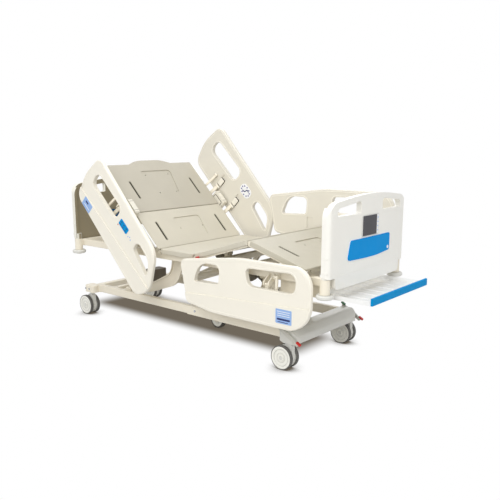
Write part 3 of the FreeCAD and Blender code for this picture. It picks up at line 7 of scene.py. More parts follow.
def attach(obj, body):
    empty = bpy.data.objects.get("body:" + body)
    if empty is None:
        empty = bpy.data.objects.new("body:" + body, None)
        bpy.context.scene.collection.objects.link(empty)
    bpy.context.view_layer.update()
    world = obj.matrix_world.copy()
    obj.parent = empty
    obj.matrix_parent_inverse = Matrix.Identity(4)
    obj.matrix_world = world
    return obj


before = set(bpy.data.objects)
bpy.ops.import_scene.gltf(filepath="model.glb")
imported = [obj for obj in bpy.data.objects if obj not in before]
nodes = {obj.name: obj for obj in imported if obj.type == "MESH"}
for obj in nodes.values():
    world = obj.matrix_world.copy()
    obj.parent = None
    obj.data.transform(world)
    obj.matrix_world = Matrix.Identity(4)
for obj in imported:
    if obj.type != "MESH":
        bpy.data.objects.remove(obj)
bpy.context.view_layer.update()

# Places on the bed, in millimetres, as the solids have them
BACK_HINGE = (-305.0, 604.0)
BACK_ANGLE = math.radians(45.0)
HEAD_LEVEL = {"right": 475.0, "left": 785.0}
FOOT_LEVEL = {"right": 455.0, "left": 805.0}
SIGN = {"right": -1, "left": 1}
THIGH_HINGE = (38.0, 604.0)
THIGH_ANGLE = math.radians(17.3)
KNEE_HINGE = (488.7, 744.4)
CALF_ANGLE = math.radians(-16.5)
BED_MIDDLE_X = -97.5
HINGE_TO_TOP = 26.0
RECESS_DEPTH = 5.0
RAIL_OUTER = {"head": 512, "foot": 474}
RAIL_INNER = {"head": 484, "foot": 446}
BOARD_EDGE_X = 1060
BOARD_BULGE = 10
BOARD_HALF = 404.0
BOARD_INNER_X = 1026
BOARD_SIDE = 430
CASTER_X = {"head": -1219.0, "foot": 703.0}
CASTER_TRACK = 330
CASTER_AXLE_Z = 75.0
WHEEL_OUTSIDE = 43
CASTER_TYRE = 0.0685
FIFTH_WHEEL = (-169.0, 62.0, 0.050)

# Line across each rail's outer face, below which the face stands further out
LEDGE = {"head": ((-260, -40), (860, -78)), "foot": ((-120, -76), (1060, -14))}
LEDGE_STEP = 6

# Outlines as the solids have them: along, up, corner radius
HEAD_RAIL = [(-45, 192, 150), (774, 240, 66), (812, 35, 300), (765, -148, 80), (-110, -182, 75),
             (-190, -60, 130)]
HEAD_WINDOWS = [[(372, 38, 48), (372, 152, 50), (716, 152, 50), (712, 38, 48)],
                [(-102, 2, 12), (-42, 104, 80), (124, 118, 40), (116, 38, 28)]]
FOOT_RAIL = [(-42, 144, 44), (460, 210, 800), (977, 210, 115), (977, -162, 160), (240, -162, 600),
             (18, -128, 45)]
FOOT_WINDOWS = [[(82, 15, 14), (140, 145, 105), (308, 143, 38), (296, 25, 22)],
                [(508, 157, 28), (880, 169, 48), (872, 51, 45), (530, 51, 48)]]
BOARD_RIM = [(-402, 616, 6), (-402, 992, 66), (0, 1048, 2200), (402, 992, 66), (402, 616, 6)]
BOARD_GRIP = [(122, 944, 12), (122, 1014, 20), (360, 986, 30), (360, 944, 12)]
PLATE_OUTLINE = [(-258, 690, 18), (-60, 683, 500), (60, 683, 500), (216, 696, 18), (216, 800, 12),
                 (-228, 800, 14)]
MOTOR_RIB = [(-38.2, -38.2, 38), (4, -38.2, 30), (18, -33, 4), (18, 33, 4), (4, 38.2, 30),
             (-38.2, 38.2, 38)]


# Materials

WAVE_SCALE = 18.0
WEAR_RADIUS = 0.0025
DUST_AND_SHADE_REACH = 0.03
COAT_ROUGHNESS = 0.12


def link(tree, out, into):
    tree.links.new(out, into)


def noiseNode(tree, coords, scale, detail, rough=0.5):
    node = tree.nodes.new("ShaderNodeTexNoise")
    node.inputs["Scale"].default_value = scale
    node.inputs["Detail"].default_value = detail
    node.inputs["Roughness"].default_value = rough
    link(tree, coords, node.inputs["Vector"])
    return node.outputs["Fac"]


def mapped(tree, value, low, high, fromLow=0.3, fromHigh=0.7):
    node = tree.nodes.new("ShaderNodeMapRange")
    node.inputs["From Min"].default_value = fromLow
    node.inputs["From Max"].default_value = fromHigh
    node.inputs["To Min"].default_value = low
    node.inputs["To Max"].default_value = high
    link(tree, value, node.inputs["Value"])
    return node.outputs["Result"]


def mixColor(tree, factor, first, second):
    node = tree.nodes.new("ShaderNodeMix")
    node.data_type = "RGBA"
    for index, value in ((0, factor), (6, first), (7, second)):
        if hasattr(value, "is_linked"):
            link(tree, value, node.inputs[index])
        else:
            node.inputs[index].default_value = value
    return node.outputs[2]


def combined(tree, operation, first, second):
    node = tree.nodes.new("ShaderNodeMath")
    node.operation = operation
    link(tree, first, node.inputs[0])
    link(tree, second, node.inputs[1])
    return node.outputs[0]


def axes(tree, vector):
    node = tree.nodes.new("ShaderNodeSeparateXYZ")
    link(tree, vector, node.inputs[0])
    return node.outputs


# Scene-linear colour from a display colour of 0 to 255
def linear(rgb):
    values = [v / 255 for v in rgb]
    return tuple(v / 12.92 if v < 0.04 else ((v + 0.055) / 1.055) ** 2.4 for v in values) + (1.0,)


def surface(name, rgb, rough=0.4, spread=0.08, metal=0.0, mottle=0.03, mottleScale=6.0,
            grain=0.0, grainScale=900.0, wave=0.0, coat=0.0, wear=0.0,
            wearRgb=(150, 148, 140), dustAndShade=0.0, spec=0.5):
    mat = bpy.data.materials.new(name)
    mat.use_nodes = True
    tree = mat.node_tree
    shader = tree.nodes["Principled BSDF"]
    coords = tree.nodes.new("ShaderNodeTexCoord").outputs["Object"]
    base = linear(rgb)
    dark = tuple(c * (1 - 2.2 * mottle) for c in base[:3]) + (1.0,)
    blotches = mapped(tree, noiseNode(tree, coords, mottleScale, 4.0), 0.0, 1.0)
    color = mixColor(tree, blotches, base, dark)
    if wear > 0:
        edge = tree.nodes.new("ShaderNodeBevel")
        edge.samples = 4
        edge.inputs["Radius"].default_value = WEAR_RADIUS
        geo = tree.nodes.new("ShaderNodeNewGeometry")
        dot = tree.nodes.new("ShaderNodeVectorMath")
        dot.operation = "DOT_PRODUCT"
        link(tree, edge.outputs["Normal"], dot.inputs[0])
        link(tree, geo.outputs["Normal"], dot.inputs[1])
        rub = mapped(tree, dot.outputs["Value"], wear, 0.0, 0.86, 0.99)
        scuffs = mapped(tree, noiseNode(tree, coords, 45.0, 6.0, 0.7), 0.2, 1.0, 0.42, 0.62)
        color = mixColor(tree, combined(tree, "MULTIPLY", rub, scuffs), color, linear(wearRgb))
    # Darker in crevices found by ambient occlusion: dust there, and painted shade as well
    if dustAndShade > 0:
        corner = tree.nodes.new("ShaderNodeAmbientOcclusion")
        corner.samples = 4
        corner.inputs["Distance"].default_value = DUST_AND_SHADE_REACH
        dustAndShadeMask = mapped(tree, corner.outputs["AO"], dustAndShade, 0.0, 0.35, 0.85)
        color = mixColor(tree, dustAndShadeMask, color, tuple(c * 0.55 for c in base[:3]) + (1.0,))
    link(tree, color, shader.inputs["Base Color"])
    smudges = mapped(tree, noiseNode(tree, coords, 22.0, 5.0, 0.6), rough - spread, rough + spread)
    link(tree, smudges, shader.inputs["Roughness"])
    shader.inputs["Metallic"].default_value = metal
    shader.inputs["Specular IOR Level"].default_value = spec
    shader.inputs["Coat Weight"].default_value = coat
    shader.inputs["Coat Roughness"].default_value = COAT_ROUGHNESS
    normal = None
    for strength, scale, distance in ((wave, WAVE_SCALE, 0.002), (grain, grainScale, 0.0004)):
        if strength > 0:
            bump = tree.nodes.new("ShaderNodeBump")
            bump.inputs["Strength"].default_value = strength
            bump.inputs["Distance"].default_value = distance
            link(tree, noiseNode(tree, coords, scale, 2.0), bump.inputs["Height"])
            if normal:
                link(tree, normal, bump.inputs["Normal"])
            normal = bump.outputs["Normal"]
    if normal:
        link(tree, normal, shader.inputs["Normal"])
    return mat


# Second colour and roughness, from none where mask(tree, coords) is low to all where it is high
def masked(mat, mask, rgb, rough, low, high):
    tree = mat.node_tree
    shader = tree.nodes["Principled BSDF"]
    coords = next(n for n in tree.nodes if n.type == "TEX_COORD").outputs["Object"]
    factor = mapped(tree, mask(tree, coords), 0.0, 1.0, low, high)
    base = shader.inputs["Base Color"].links[0].from_socket
    link(tree, mixColor(tree, factor, base, linear(rgb)), shader.inputs["Base Color"])
    old = shader.inputs["Roughness"].links[0].from_socket
    mix = tree.nodes.new("ShaderNodeMix")
    link(tree, factor, mix.inputs[0])
    link(tree, old, mix.inputs[2])
    mix.inputs[3].default_value = rough
    link(tree, mix.outputs[0], shader.inputs["Roughness"])
    return mat


# Distance in metres from an axle that runs along Y
def fromAxle(x, z):
    def mask(tree, coords):
        split = axes(tree, coords)
        join = tree.nodes.new("ShaderNodeCombineXYZ")
        link(tree, split[0], join.inputs[0])
        link(tree, split[2], join.inputs[2])
        far = tree.nodes.new("ShaderNodeVectorMath")
        far.operation = "DISTANCE"
        link(tree, join.outputs[0], far.inputs[0])
        far.inputs[1].default_value = (x / 1000, 0, z / 1000)
        return far.outputs["Value"]
    return mask


def alongX(tree, coords):
    return axes(tree, coords)[0]


def facingFoot(tree, coords):
    return axes(tree, tree.nodes.new("ShaderNodeNewGeometry").outputs["Normal"])[0]


IVORY = surface("ivory_moulding", (247, 242, 228), 0.36, 0.06, mottle=0.010, grain=0.12, grainScale=700,
                wave=0.05, coat=0.2, wear=0.3, wearRgb=(222, 215, 196), dustAndShade=0.25)
# Darker copy of the ivory for the far rails and the latch boxes: painted shade
IVORY_PAINTED_SHADE = surface("ivory_moulding_painted_shade", (229, 224, 210), 0.4, 0.06, mottle=0.012, grain=0.12,
                    grainScale=700, wave=0.05, coat=0.1, wear=0.3, wearRgb=(206, 199, 181), dustAndShade=0.3)
BOARD = surface("board_moulding", (249, 247, 239), 0.34, 0.06, mottle=0.010, grain=0.10, grainScale=700,
                wave=0.05, coat=0.2, wear=0.3, wearRgb=(222, 216, 200), dustAndShade=0.3)
# Darker copies of the deck moulding for the upper back and the calf panels: painted shade
DECK_UPPER_PAINTED_SHADE = surface("deck_upper_painted_shade", (188, 182, 166), 0.5, 0.07, mottle=0.02, grain=0.35,
                     grainScale=420, wave=0.04, wear=0.4, wearRgb=(182, 175, 158), dustAndShade=0.2)
DECK_CALF_PAINTED_SHADE = surface("deck_calf_painted_shade", (197, 191, 173), 0.5, 0.07, mottle=0.02, grain=0.35,
                    grainScale=420, wave=0.04, wear=0.4, wearRgb=(190, 183, 165), dustAndShade=0.2)
DECK = surface("deck_moulding", (207, 201, 184), 0.5, 0.07, mottle=0.02, grain=0.35,
               grainScale=420, wave=0.04, wear=0.4, wearRgb=(200, 193, 176), dustAndShade=0.2)
POWDER = surface("powder_coat", (246, 238, 219), 0.42, 0.06, mottle=0.02, grain=0.3, grainScale=260,
                 coat=0.1, wear=0.4, wearRgb=(190, 184, 168), dustAndShade=0.45)
POWDER_GREY = surface("powder_coat_grey", (206, 204, 194), 0.45, 0.07, mottle=0.03, grain=0.3,
                      grainScale=260, wear=0.5, wearRgb=(150, 148, 142), dustAndShade=0.4)
COVER = surface("cover_moulding", (221, 220, 212), 0.38, 0.06, mottle=0.02, grain=0.2, grainScale=600,
                coat=0.2, wear=0.3, wearRgb=(186, 184, 176), dustAndShade=0.3)
BUMPER = surface("bumper_moulding", (226, 225, 218), 0.4, 0.06, mottle=0.02, grain=0.2, wear=0.3,
                 wearRgb=(190, 188, 180), dustAndShade=0.5)
DARK = surface("control_moulding", (118, 108, 92), 0.5, 0.08, mottle=0.08, grain=0.4, grainScale=500,
               wear=0.6, wearRgb=(146, 138, 120))
MOTOR = surface("motor_moulding", (122, 114, 96), 0.5, 0.08, mottle=0.06, grain=0.4, grainScale=500,
                wear=0.5, wearRgb=(152, 144, 124), dustAndShade=0.4)
STEEL = surface("plated_steel", (190, 192, 196), 0.28, 0.08, metal=1.0, mottle=0.05, mottleScale=60,
                grain=0.15, grainScale=1500)
AZURE = surface("azure_moulding", (0, 148, 214), 0.5, 0.05, mottle=0.03, grain=0.1, wear=0.25,
                wearRgb=(60, 168, 222), spec=0.08)
BLUE = surface("blue_plate", (0, 150, 224), 0.45, 0.05, mottle=0.02, wave=0.03, spec=0.08)
# Darker copy of the blue plate for the head board: painted shade
BLUE_PLATE_PAINTED_SHADE = surface("blue_plate_painted_shade", (10, 84, 132), 0.45, 0.05, mottle=0.02, wave=0.03, spec=0.08)
# Darker rims round the deck slots: painted shade of the slot walls
LIP_PAINTED_SHADE = surface("slot_lip_painted_shade", (170, 164, 145), 0.5, 0.06, mottle=0.03, grain=0.3, grainScale=420, dustAndShade=0.2)
WHITE = surface("white_print", (248, 249, 250), 0.35, 0.05, mottle=0.01, coat=0.1)
TRAY = surface("tray_coat", (250, 250, 248), 0.4, 0.05, mottle=0.01, grain=0.2, grainScale=300,
               wear=0.3, wearRgb=(214, 214, 212), dustAndShade=0.2)
RED = surface("red_moulding", (196, 34, 26), 0.4, 0.06, mottle=0.05, grain=0.3, coat=0.1, wear=0.5,
              wearRgb=(206, 110, 96))
RUBBER = surface("cable_sheath", (46, 46, 50), 0.55, 0.06, mottle=0.05, grain=0.4, grainScale=800)
GLASS = surface("screen_glass", (58, 56, 62), 0.3, 0.03, mottle=0.06, mottleScale=14, coat=0.12,
                spec=0.25)
BEZEL = surface("screen_bezel", (214, 214, 210), 0.4, 0.05, mottle=0.03, grain=0.2)
LABEL = surface("label_print", (156, 188, 236), 0.4, 0.05, mottle=0.03, spec=0.3)
NAVY = surface("navy_print", (34, 44, 104), 0.45, 0.05, mottle=0.05, spec=0.3)
PURPLE = surface("icon_print", (92, 88, 150), 0.45, 0.05, mottle=0.04, spec=0.3)
# Dark fill: painted shade in the slots, holes and gaps, and the dark of the latch boxes' seams
SHADE_AND_SEAM_FILL = surface("painted_shade_and_seam_fill", (56, 52, 44), 0.8, 0.05, mottle=0.06, grain=0.2, spec=0.1)


RED_PADS_FROM_X = 0.748
HUB_SPOT_RADIUS = 0.0112


# Green pads on the head side of the pedals' shaft, red ones beyond it
def pedalMaterial():
    mat = surface("pad_moulding", (60, 122, 78), 0.42, 0.06, mottle=0.05, grain=0.3, wear=0.4,
                  wearRgb=(130, 160, 130))
    return masked(mat, alongX, (206, 34, 26), 0.4, RED_PADS_FROM_X - 0.001, RED_PADS_FROM_X + 0.001)


# Head board, darker on the faces turned to the foot: painted shade
def headboardMaterial():
    mat = surface("headboard_painted_shade_moulding", (246, 243, 230), 0.38, 0.06, mottle=0.015, grain=0.10,
                  grainScale=700, wave=0.05, coat=0.1, wear=0.3, wearRgb=(222, 216, 200), dustAndShade=0.3)
    return masked(mat, facingFoot, (152, 141, 115), 0.45, 0.75, 0.97)


# White wheel on an axle at x and z (millimetres), steel in the middle and grey beyond tyre (metres)
def wheelMaterial(name, x, z, tyre):
    def nearAxle(tree, coords):
        away = fromAxle(x, z)(tree, coords)
        return mapped(tree, away, 1.0, 0.0, HUB_SPOT_RADIUS - 0.0007, HUB_SPOT_RADIUS)

    mat = surface(name, (254, 253, 244), 0.36, 0.06, mottle=0.02, grain=0.15, coat=0.2, wear=0.3,
                  dustAndShade=0.3)
    mat = masked(mat, fromAxle(x, z), (92, 90, 86), 0.75, tyre - 0.0006, tyre + 0.0002)
    return masked(mat, nearAxle, (150, 152, 154), 0.3, 0.2, 0.8)


def paint(node, mat):
    mesh = nodes[node].data
    mesh.materials.clear()
    mesh.materials.append(mat)


ENDS = ("head", "foot")
PAINT = ((IVORY, ["head_right_rail", "foot_right_rail"]),
         (IVORY_PAINTED_SHADE, ["head_left_rail", "foot_left_rail"]),
         (BOARD, ["footboard"]),
         (DECK_UPPER_PAINTED_SHADE, ["back_panel_upper"]),
         (DECK_CALF_PAINTED_SHADE, ["calf_panel"]),
         (DECK, ["back_panel_lower", "seat_panel", "thigh_panel"]),
         (POWDER, ["base_side_rails", "base_cross_tubes", "head_lift_arms", "foot_lift_arms",
                   "upper_frame", "frame_brackets", "corner_posts", "back_frame", "thigh_frame",
                   "calf_frame"] + [f"{end}_{side}_rail_{part}" for end in ENDS for side in SIGN
                                    for part in ("arms", "link")]),
         (POWDER_GREY, ["brake_pedals"]),
         (COVER, ["base_foot_cover"]),
         (BUMPER, [f"caster_{end}_{side}_housing" for end in ENDS for side in SIGN]
          + [f"bumper_{end}_{side}" for end in ENDS for side in SIGN]),
         (DARK, ["control_box"]),
         (MOTOR, ["head_lift_actuator_body", "foot_lift_actuator_body", "back_actuator_body",
                  "knee_actuator_body"]),
         (STEEL, ["head_lift_actuator_rod", "foot_lift_actuator_rod", "back_actuator_rod",
                  "knee_actuator_rod"]),
         (TRAY, ["tray_frame"]),
         (AZURE, ["tray_front"]),
         (RED, ["cpr_handle"]),
         (RUBBER, ["power_cable"]),
         (BEZEL, ["footboard_screen"]),
         (BLUE, ["footboard_plate"]))
for mat, names in PAINT:
    for node in names:
        paint(node, mat)
paint("pedal_pads", pedalMaterial())
paint("headboard", headboardMaterial())
for end, x in CASTER_X.items():
    for side in SIGN:
        node = f"caster_{end}_{side}_wheels"
        paint(node, wheelMaterial(node, x, CASTER_AXLE_Z, CASTER_TYRE))
paint("fifth_wheel", wheelMaterial("fifth_wheel", *FIFTH_WHEEL))
print("materials on the solids")


# Shapes

BEAD_STEP = 40
BEAD_SUNK = 0.4


# Outline of a polygon (a, b, corner radius) with its corners rounded
def rounded(points, steps):
    outline = []
    for index, (a, b, radius) in enumerate(points):
        here = Vector((a, b))
        back = (Vector(points[index - 1][:2]) - here).normalized()
        ahead = (Vector(points[(index + 1) % len(points)][:2]) - here).normalized()
        half = back.angle(ahead) / 2
        centre = here + (back + ahead).normalized() * (radius / math.sin(half))
        start = here + back * (radius / math.tan(half)) - centre
        finish = here + ahead * (radius / math.tan(half)) - centre
        turn = start.angle_signed(finish)
        for step in range(steps + 1):
            outline.append(centre + start @ Matrix.Rotation(turn * step / steps, 2))
    return outline


# Plate with rounded corners between two depths; place(a, b, depth) gives its points in millimetres
def plate(name, points, place, near, far, mat, body, bevel=0.6, steps=6):
    outline = rounded(points, steps)
    mesh = bpy.data.meshes.new(name)
    shape = bmesh.new()
    rings = [[shape.verts.new(Vector(place(p.x, p.y, depth)) / 1000) for p in outline]
             for depth in (near, far)]
    shape.faces.new(rings[0])
    shape.faces.new(rings[1])
    for index in range(len(outline)):
        following = (index + 1) % len(outline)
        shape.faces.new([rings[0][index], rings[0][following], rings[1][following], rings[1][index]])
    bmesh.ops.recalc_face_normals(shape, faces=shape.faces)
    shape.to_mesh(mesh)
    shape.free()
    return finished(name, mesh, mat, body, bevel)


def finished(name, mesh, mat, body, bevel):
    piece = bpy.data.objects.new(name, mesh)
    bpy.context.scene.collection.objects.link(piece)
    mesh.materials.append(mat)
    for face in mesh.polygons:
        face.use_smooth = True
    if bevel > 0:
        edge = piece.modifiers.new("edge", "BEVEL")
        edge.width = bevel / 1000
        edge.segments = 3
        edge.limit_method = "ANGLE"
        edge.harden_normals = True
    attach(piece, body)
    return piece


# Maps (along, up, depth) onto a side rail, depth growing outward from depthFrom
def onRail(end, side, depthFrom):
    sign = SIGN[side]
    if end == "foot":
        level = FOOT_LEVEL[side]
        return lambda a, b, depth: (a, sign * (depthFrom + depth), level + b)
    level = HEAD_LEVEL[side]

    def place(a, b, depth):
        x, z = -a, level + b - BACK_HINGE[1]
        cos, sin = math.cos(BACK_ANGLE), math.sin(BACK_ANGLE)
        return (BACK_HINGE[0] + x * cos + z * sin, sign * (depthFrom + depth),
                BACK_HINGE[1] - x * sin + z * cos)
    return place


def rectangle(a, b, width, height, radius):
    return [(a - width / 2, b - height / 2, radius), (a + width / 2, b - height / 2, radius),
            (a + width / 2, b + height / 2, radius), (a - width / 2, b + height / 2, radius)]


def tilted(pivot, angle, along, rise):
    cos, sin = math.cos(angle), math.sin(angle)
    return pivot[0] + along * cos - rise * sin, pivot[1] + along * sin + rise * cos


# Maps (across, along from the hinge, above the top face) onto a deck section
def onDeck(section):
    pivot, angle, way = {"back": (BACK_HINGE, -BACK_ANGLE, -1), "thigh": (THIGH_HINGE, THIGH_ANGLE, 1),
                         "calf": (KNEE_HINGE, CALF_ANGLE, 1)}[section]

    def place(a, b, depth):
        x, z = tilted(pivot, angle, way * b, HINGE_TO_TOP + depth)
        return (x, a, z)
    return place


# Maps (along the back, above its top face, outward from start) beside the back
def backSide(side, start):
    def place(a, b, depth):
        x, z = tilted(BACK_HINGE, -BACK_ANGLE, -a, HINGE_TO_TOP + b)
        return (x, SIGN[side] * (start + depth), z)
    return place


# Outline moved inward by a distance, or outward if it is negative
def inset(outline, distance):
    turn = sum(p.x * q.y - q.x * p.y for p, q in zip(outline, outline[1:] + outline[:1]))
    way = 1 if turn > 0 else -1
    moved = []
    for index, here in enumerate(outline):
        run = outline[(index + 1) % len(outline)] - outline[index - 1]
        normal = Vector((-run.y, run.x)).normalized() * way
        moved.append(here + normal * distance)
    return moved


# Raised line along an outline, from start to start + width inside it
def bead(name, points, start, width, height, place, mat, body, steps=10):
    outline = rounded(points, steps)
    dense = []
    for index, here in enumerate(outline):
        ahead = outline[(index + 1) % len(outline)]
        count = max(1, int((ahead - here).length / BEAD_STEP))
        dense += [here.lerp(ahead, step / count) for step in range(count)]
    dense = [p for index, p in enumerate(dense) if (p - dense[index - 1]).length > 0.05]
    shape = bmesh.new()
    rows = []
    for share, rise in ((0.0, -BEAD_SUNK), (0.2, 0.7 * height), (0.5, height), (0.8, 0.7 * height),
                        (1.0, -BEAD_SUNK)):
        rows.append([shape.verts.new(Vector(place(p.x, p.y, rise)) / 1000)
                     for p in inset(dense, start + width * share)])
    for low, high in zip(rows, rows[1:]):
        for index in range(len(dense)):
            following = (index + 1) % len(dense)
            shape.faces.new([low[index], low[following], high[following], high[index]])
    bmesh.ops.recalc_face_normals(shape, faces=shape.faces)
    mesh = bpy.data.meshes.new(name)
    shape.to_mesh(mesh)
    shape.free()
    return finished(name, mesh, mat, body, 0)


# Round bar between two points in millimetres
def tube(name, start, end, radius, mat, body, sides=20, bevel=1.0):
    first, last = Vector(start) / 1000, Vector(end) / 1000
    mesh = bpy.data.meshes.new(name)
    shape = bmesh.new()
    bmesh.ops.create_cone(shape, cap_ends=True, segments=sides, radius1=radius / 1000,
                          radius2=radius / 1000, depth=(last - first).length)
    turn = (last - first).to_track_quat("Z", "Y").to_matrix().to_4x4()
    shape.transform(Matrix.Translation((first + last) / 2) @ turn)
    shape.to_mesh(mesh)
    shape.free()
    return finished(name, mesh, mat, body, bevel)


# Camera, light and floor

CAMERA_PLACE = (2.8631, -3.2539, 1.3577)
CAMERA_AZIMUTH = math.radians(40.2)
CAMERA_DOWN = math.radians(11.8)
CAMERA_LENS = 45.7
CAMERA_SHIFT = (0.0092, 0.041)

# Name, place, size, power, and the point that each lamp faces
LAMPS = (("key", (1.4, -4.9, 3.3), 3.6, 148.0, (0.0, 0.0, 0.5)),
         ("top", (-0.2, -0.4, 4.6), 3.2, 78.0, (-0.1, 0.0, 0.5)),
         ("foot", (5.2, -0.6, 2.2), 3.0, 52.0, (0.6, 0.0, 0.7)),
         ("back", (-2.8, 3.6, 3.0), 3.0, 42.0, (0.0, 0.0, 0.7)))
AMBIENT = (0.96, 0.97, 1.0, 1.0)
AMBIENT_STRENGTH = 0.5
PAPER_WHITE = (1, 1, 1, 1)
FLOOR_HALF = 14
CONTACT_REACH = 0.16

# Soft edges of the painted shade under the bed: axis, clear at, full at
SHADE_EDGES = ((0, -1.60, -1.34), (0, 0.70, 0.50), (1, -0.20, -0.02), (1, 0.50, 0.26))


def studio():
    scene = bpy.context.scene
    camera = bpy.data.objects.new("camera", bpy.data.cameras.new("camera"))
    scene.collection.objects.link(camera)
    camera.location = CAMERA_PLACE
    level = math.cos(CAMERA_DOWN)
    view = Vector((-math.sin(CAMERA_AZIMUTH) * level, math.cos(CAMERA_AZIMUTH) * level,
                   -math.sin(CAMERA_DOWN)))
    camera.rotation_euler = view.to_track_quat("-Z", "Y").to_euler()
    camera.data.lens = CAMERA_LENS
    camera.data.sensor_width = 36.0
    camera.data.shift_x, camera.data.shift_y = CAMERA_SHIFT
    camera.data.clip_end = 60.0
    scene.camera = camera
    scene.view_settings.view_transform = "Standard"
    for name, place, size, power, look in LAMPS:
        lamp = bpy.data.objects.new(name, bpy.data.lights.new(name, "AREA"))
        scene.collection.objects.link(lamp)
        lamp.data.size = size
        lamp.data.energy = power
        lamp.location = place
        lamp.rotation_euler = (Vector(look) - Vector(place)).to_track_quat("-Z", "Y").to_euler()
    world = bpy.data.worlds.new("studio")
    scene.world = world
    world.use_nodes = True
    tree = world.node_tree
    tree.nodes.clear()
    out = tree.nodes.new("ShaderNodeOutputWorld")
    soft = tree.nodes.new("ShaderNodeBackground")
    soft.inputs["Color"].default_value = AMBIENT
    soft.inputs["Strength"].default_value = AMBIENT_STRENGTH
    white = tree.nodes.new("ShaderNodeBackground")
    white.inputs["Color"].default_value = PAPER_WHITE
    link(tree, whereSeen(tree, soft.outputs[0], white.outputs[0]), out.inputs[0])


# First shader for light, second one where the camera sees it directly, mirrored or through glass
def whereSeen(tree, unseen, seen):
    rays = tree.nodes.new("ShaderNodeLightPath").outputs
    direct = combined(tree, "MAXIMUM", rays["Is Camera Ray"], rays["Is Glossy Ray"])
    mix = tree.nodes.new("ShaderNodeMixShader")
    link(tree, combined(tree, "MAXIMUM", direct, rays["Is Transmission Ray"]), mix.inputs[0])
    link(tree, unseen, mix.inputs[1])
    link(tree, seen, mix.inputs[2])
    return mix.outputs[0]


def softEdge(tree, value, clear, full):
    node = tree.nodes.new("ShaderNodeMapRange")
    node.interpolation_type = "SMOOTHSTEP"
    rising = clear < full
    node.inputs["From Min"].default_value = min(clear, full)
    node.inputs["From Max"].default_value = max(clear, full)
    node.inputs["To Min"].default_value = 0.0 if rising else 1.0
    node.inputs["To Max"].default_value = 1.0 if rising else 0.0
    link(tree, value, node.inputs["Value"])
    return node.outputs["Result"]


# White ground, with a contact shadow and a faint shade under the bed painted into its colour where the
# camera sees it
def floor():
    mesh = bpy.data.meshes.new("floor")
    corners = ((-1, -1), (1, -1), (1, 1), (-1, 1))
    mesh.from_pydata([(x * FLOOR_HALF, y * FLOOR_HALF, 0) for x, y in corners], [], [(0, 1, 2, 3)])
    ground = bpy.data.objects.new("floor", mesh)
    bpy.context.scene.collection.objects.link(ground)
    mat = bpy.data.materials.new("floor")
    mat.use_nodes = True
    tree = mat.node_tree
    shader = tree.nodes["Principled BSDF"]
    shader.inputs["Base Color"].default_value = (0.55, 0.54, 0.52, 1)
    shader.inputs["Roughness"].default_value = 0.9
    # Contact shadow painted from ambient occlusion, and painted shade under the bed
    near = tree.nodes.new("ShaderNodeAmbientOcclusion")
    near.samples = 16
    near.inputs["Distance"].default_value = CONTACT_REACH
    contactShadow = mapped(tree, near.outputs["AO"], 1.0, 0.0, 0.25, 0.85)
    split = axes(tree, tree.nodes.new("ShaderNodeTexCoord").outputs["Object"])
    edges = [softEdge(tree, split[axis], clear, full) for axis, clear, full in SHADE_EDGES]
    shade = edges[0]
    for edge in edges[1:]:
        shade = combined(tree, "MULTIPLY", shade, edge)
    shadowUnderBed = mixColor(tree, shade, PAPER_WHITE, linear((112, 104, 92)))
    paintedShadows = mixColor(tree, contactShadow, shadowUnderBed, linear((96, 88, 76)))
    glow = tree.nodes.new("ShaderNodeEmission")
    link(tree, paintedShadows, glow.inputs["Color"])
    surfaceIn = tree.nodes["Material Output"].inputs[0]
    link(tree, whereSeen(tree, shader.outputs[0], glow.outputs[0]), surfaceIn)
    mesh.materials.append(mat)


studio()
floor()
print("camera, light and floor")


# Deck: slots as (along, length), holes as (across, along)

SLOT_ACROSS = 300
SLOTS = {"back": ((150, 160), (528, 160)), "thigh": ((235, 124),), "calf": ((212, 150),)}
HOLES = {"back": ((112, 152), (112, 663), (84, 488)), "calf": ((84, 175),)}
# A dark plate under each slot and hole, and a darker lip round each slot: painted shade
for section, slots in SLOTS.items():
    place = onDeck(section)
    recessed = lambda a, b, d: place(a, b, d - RECESS_DEPTH)
    for side, sign in SIGN.items():
        for number, (along, length) in enumerate(slots):
            plate(f"{section}_slot_{side}_{number}",
                  rectangle(sign * SLOT_ACROSS, along, 14.4, length - 1, 7.1), place,
                  -7.6, -3.2, SHADE_AND_SEAM_FILL, section, 0.2)
            bead(f"{section}_slot_lip_{side}_{number}",
                 rectangle(sign * SLOT_ACROSS, along, 14, length, 6.9), -5.0, 5.0, 0.8, place,
                 LIP_PAINTED_SHADE, section, 6)
        for number, (across, along) in enumerate(HOLES.get(section, ())):
            plate(f"{section}_plug_{side}_{number}", rectangle(sign * across, along, 22, 22, 10.9),
                  place, -15.5, -9.0, SHADE_AND_SEAM_FILL, section, 0.3)
            bead(f"{section}_eyelet_{side}_{number}", rectangle(sign * across, along, 16, 16, 7.9),
                 0.0, 3.0, 0.9, recessed, DECK, section)
print("deck slots and eyelets")


EDGE_BARS = ((28, 226), (566, 748))
EDGE_BAR_Y = 431
EDGE_BAR_FOOT = 14
LATCH_BOX = [(296, -52, 8), (419, -52, 8), (419, 48, 16), (296, 48, 16)]
LATCH_SEAMS = (318, 396)
LATCH_Y = 424


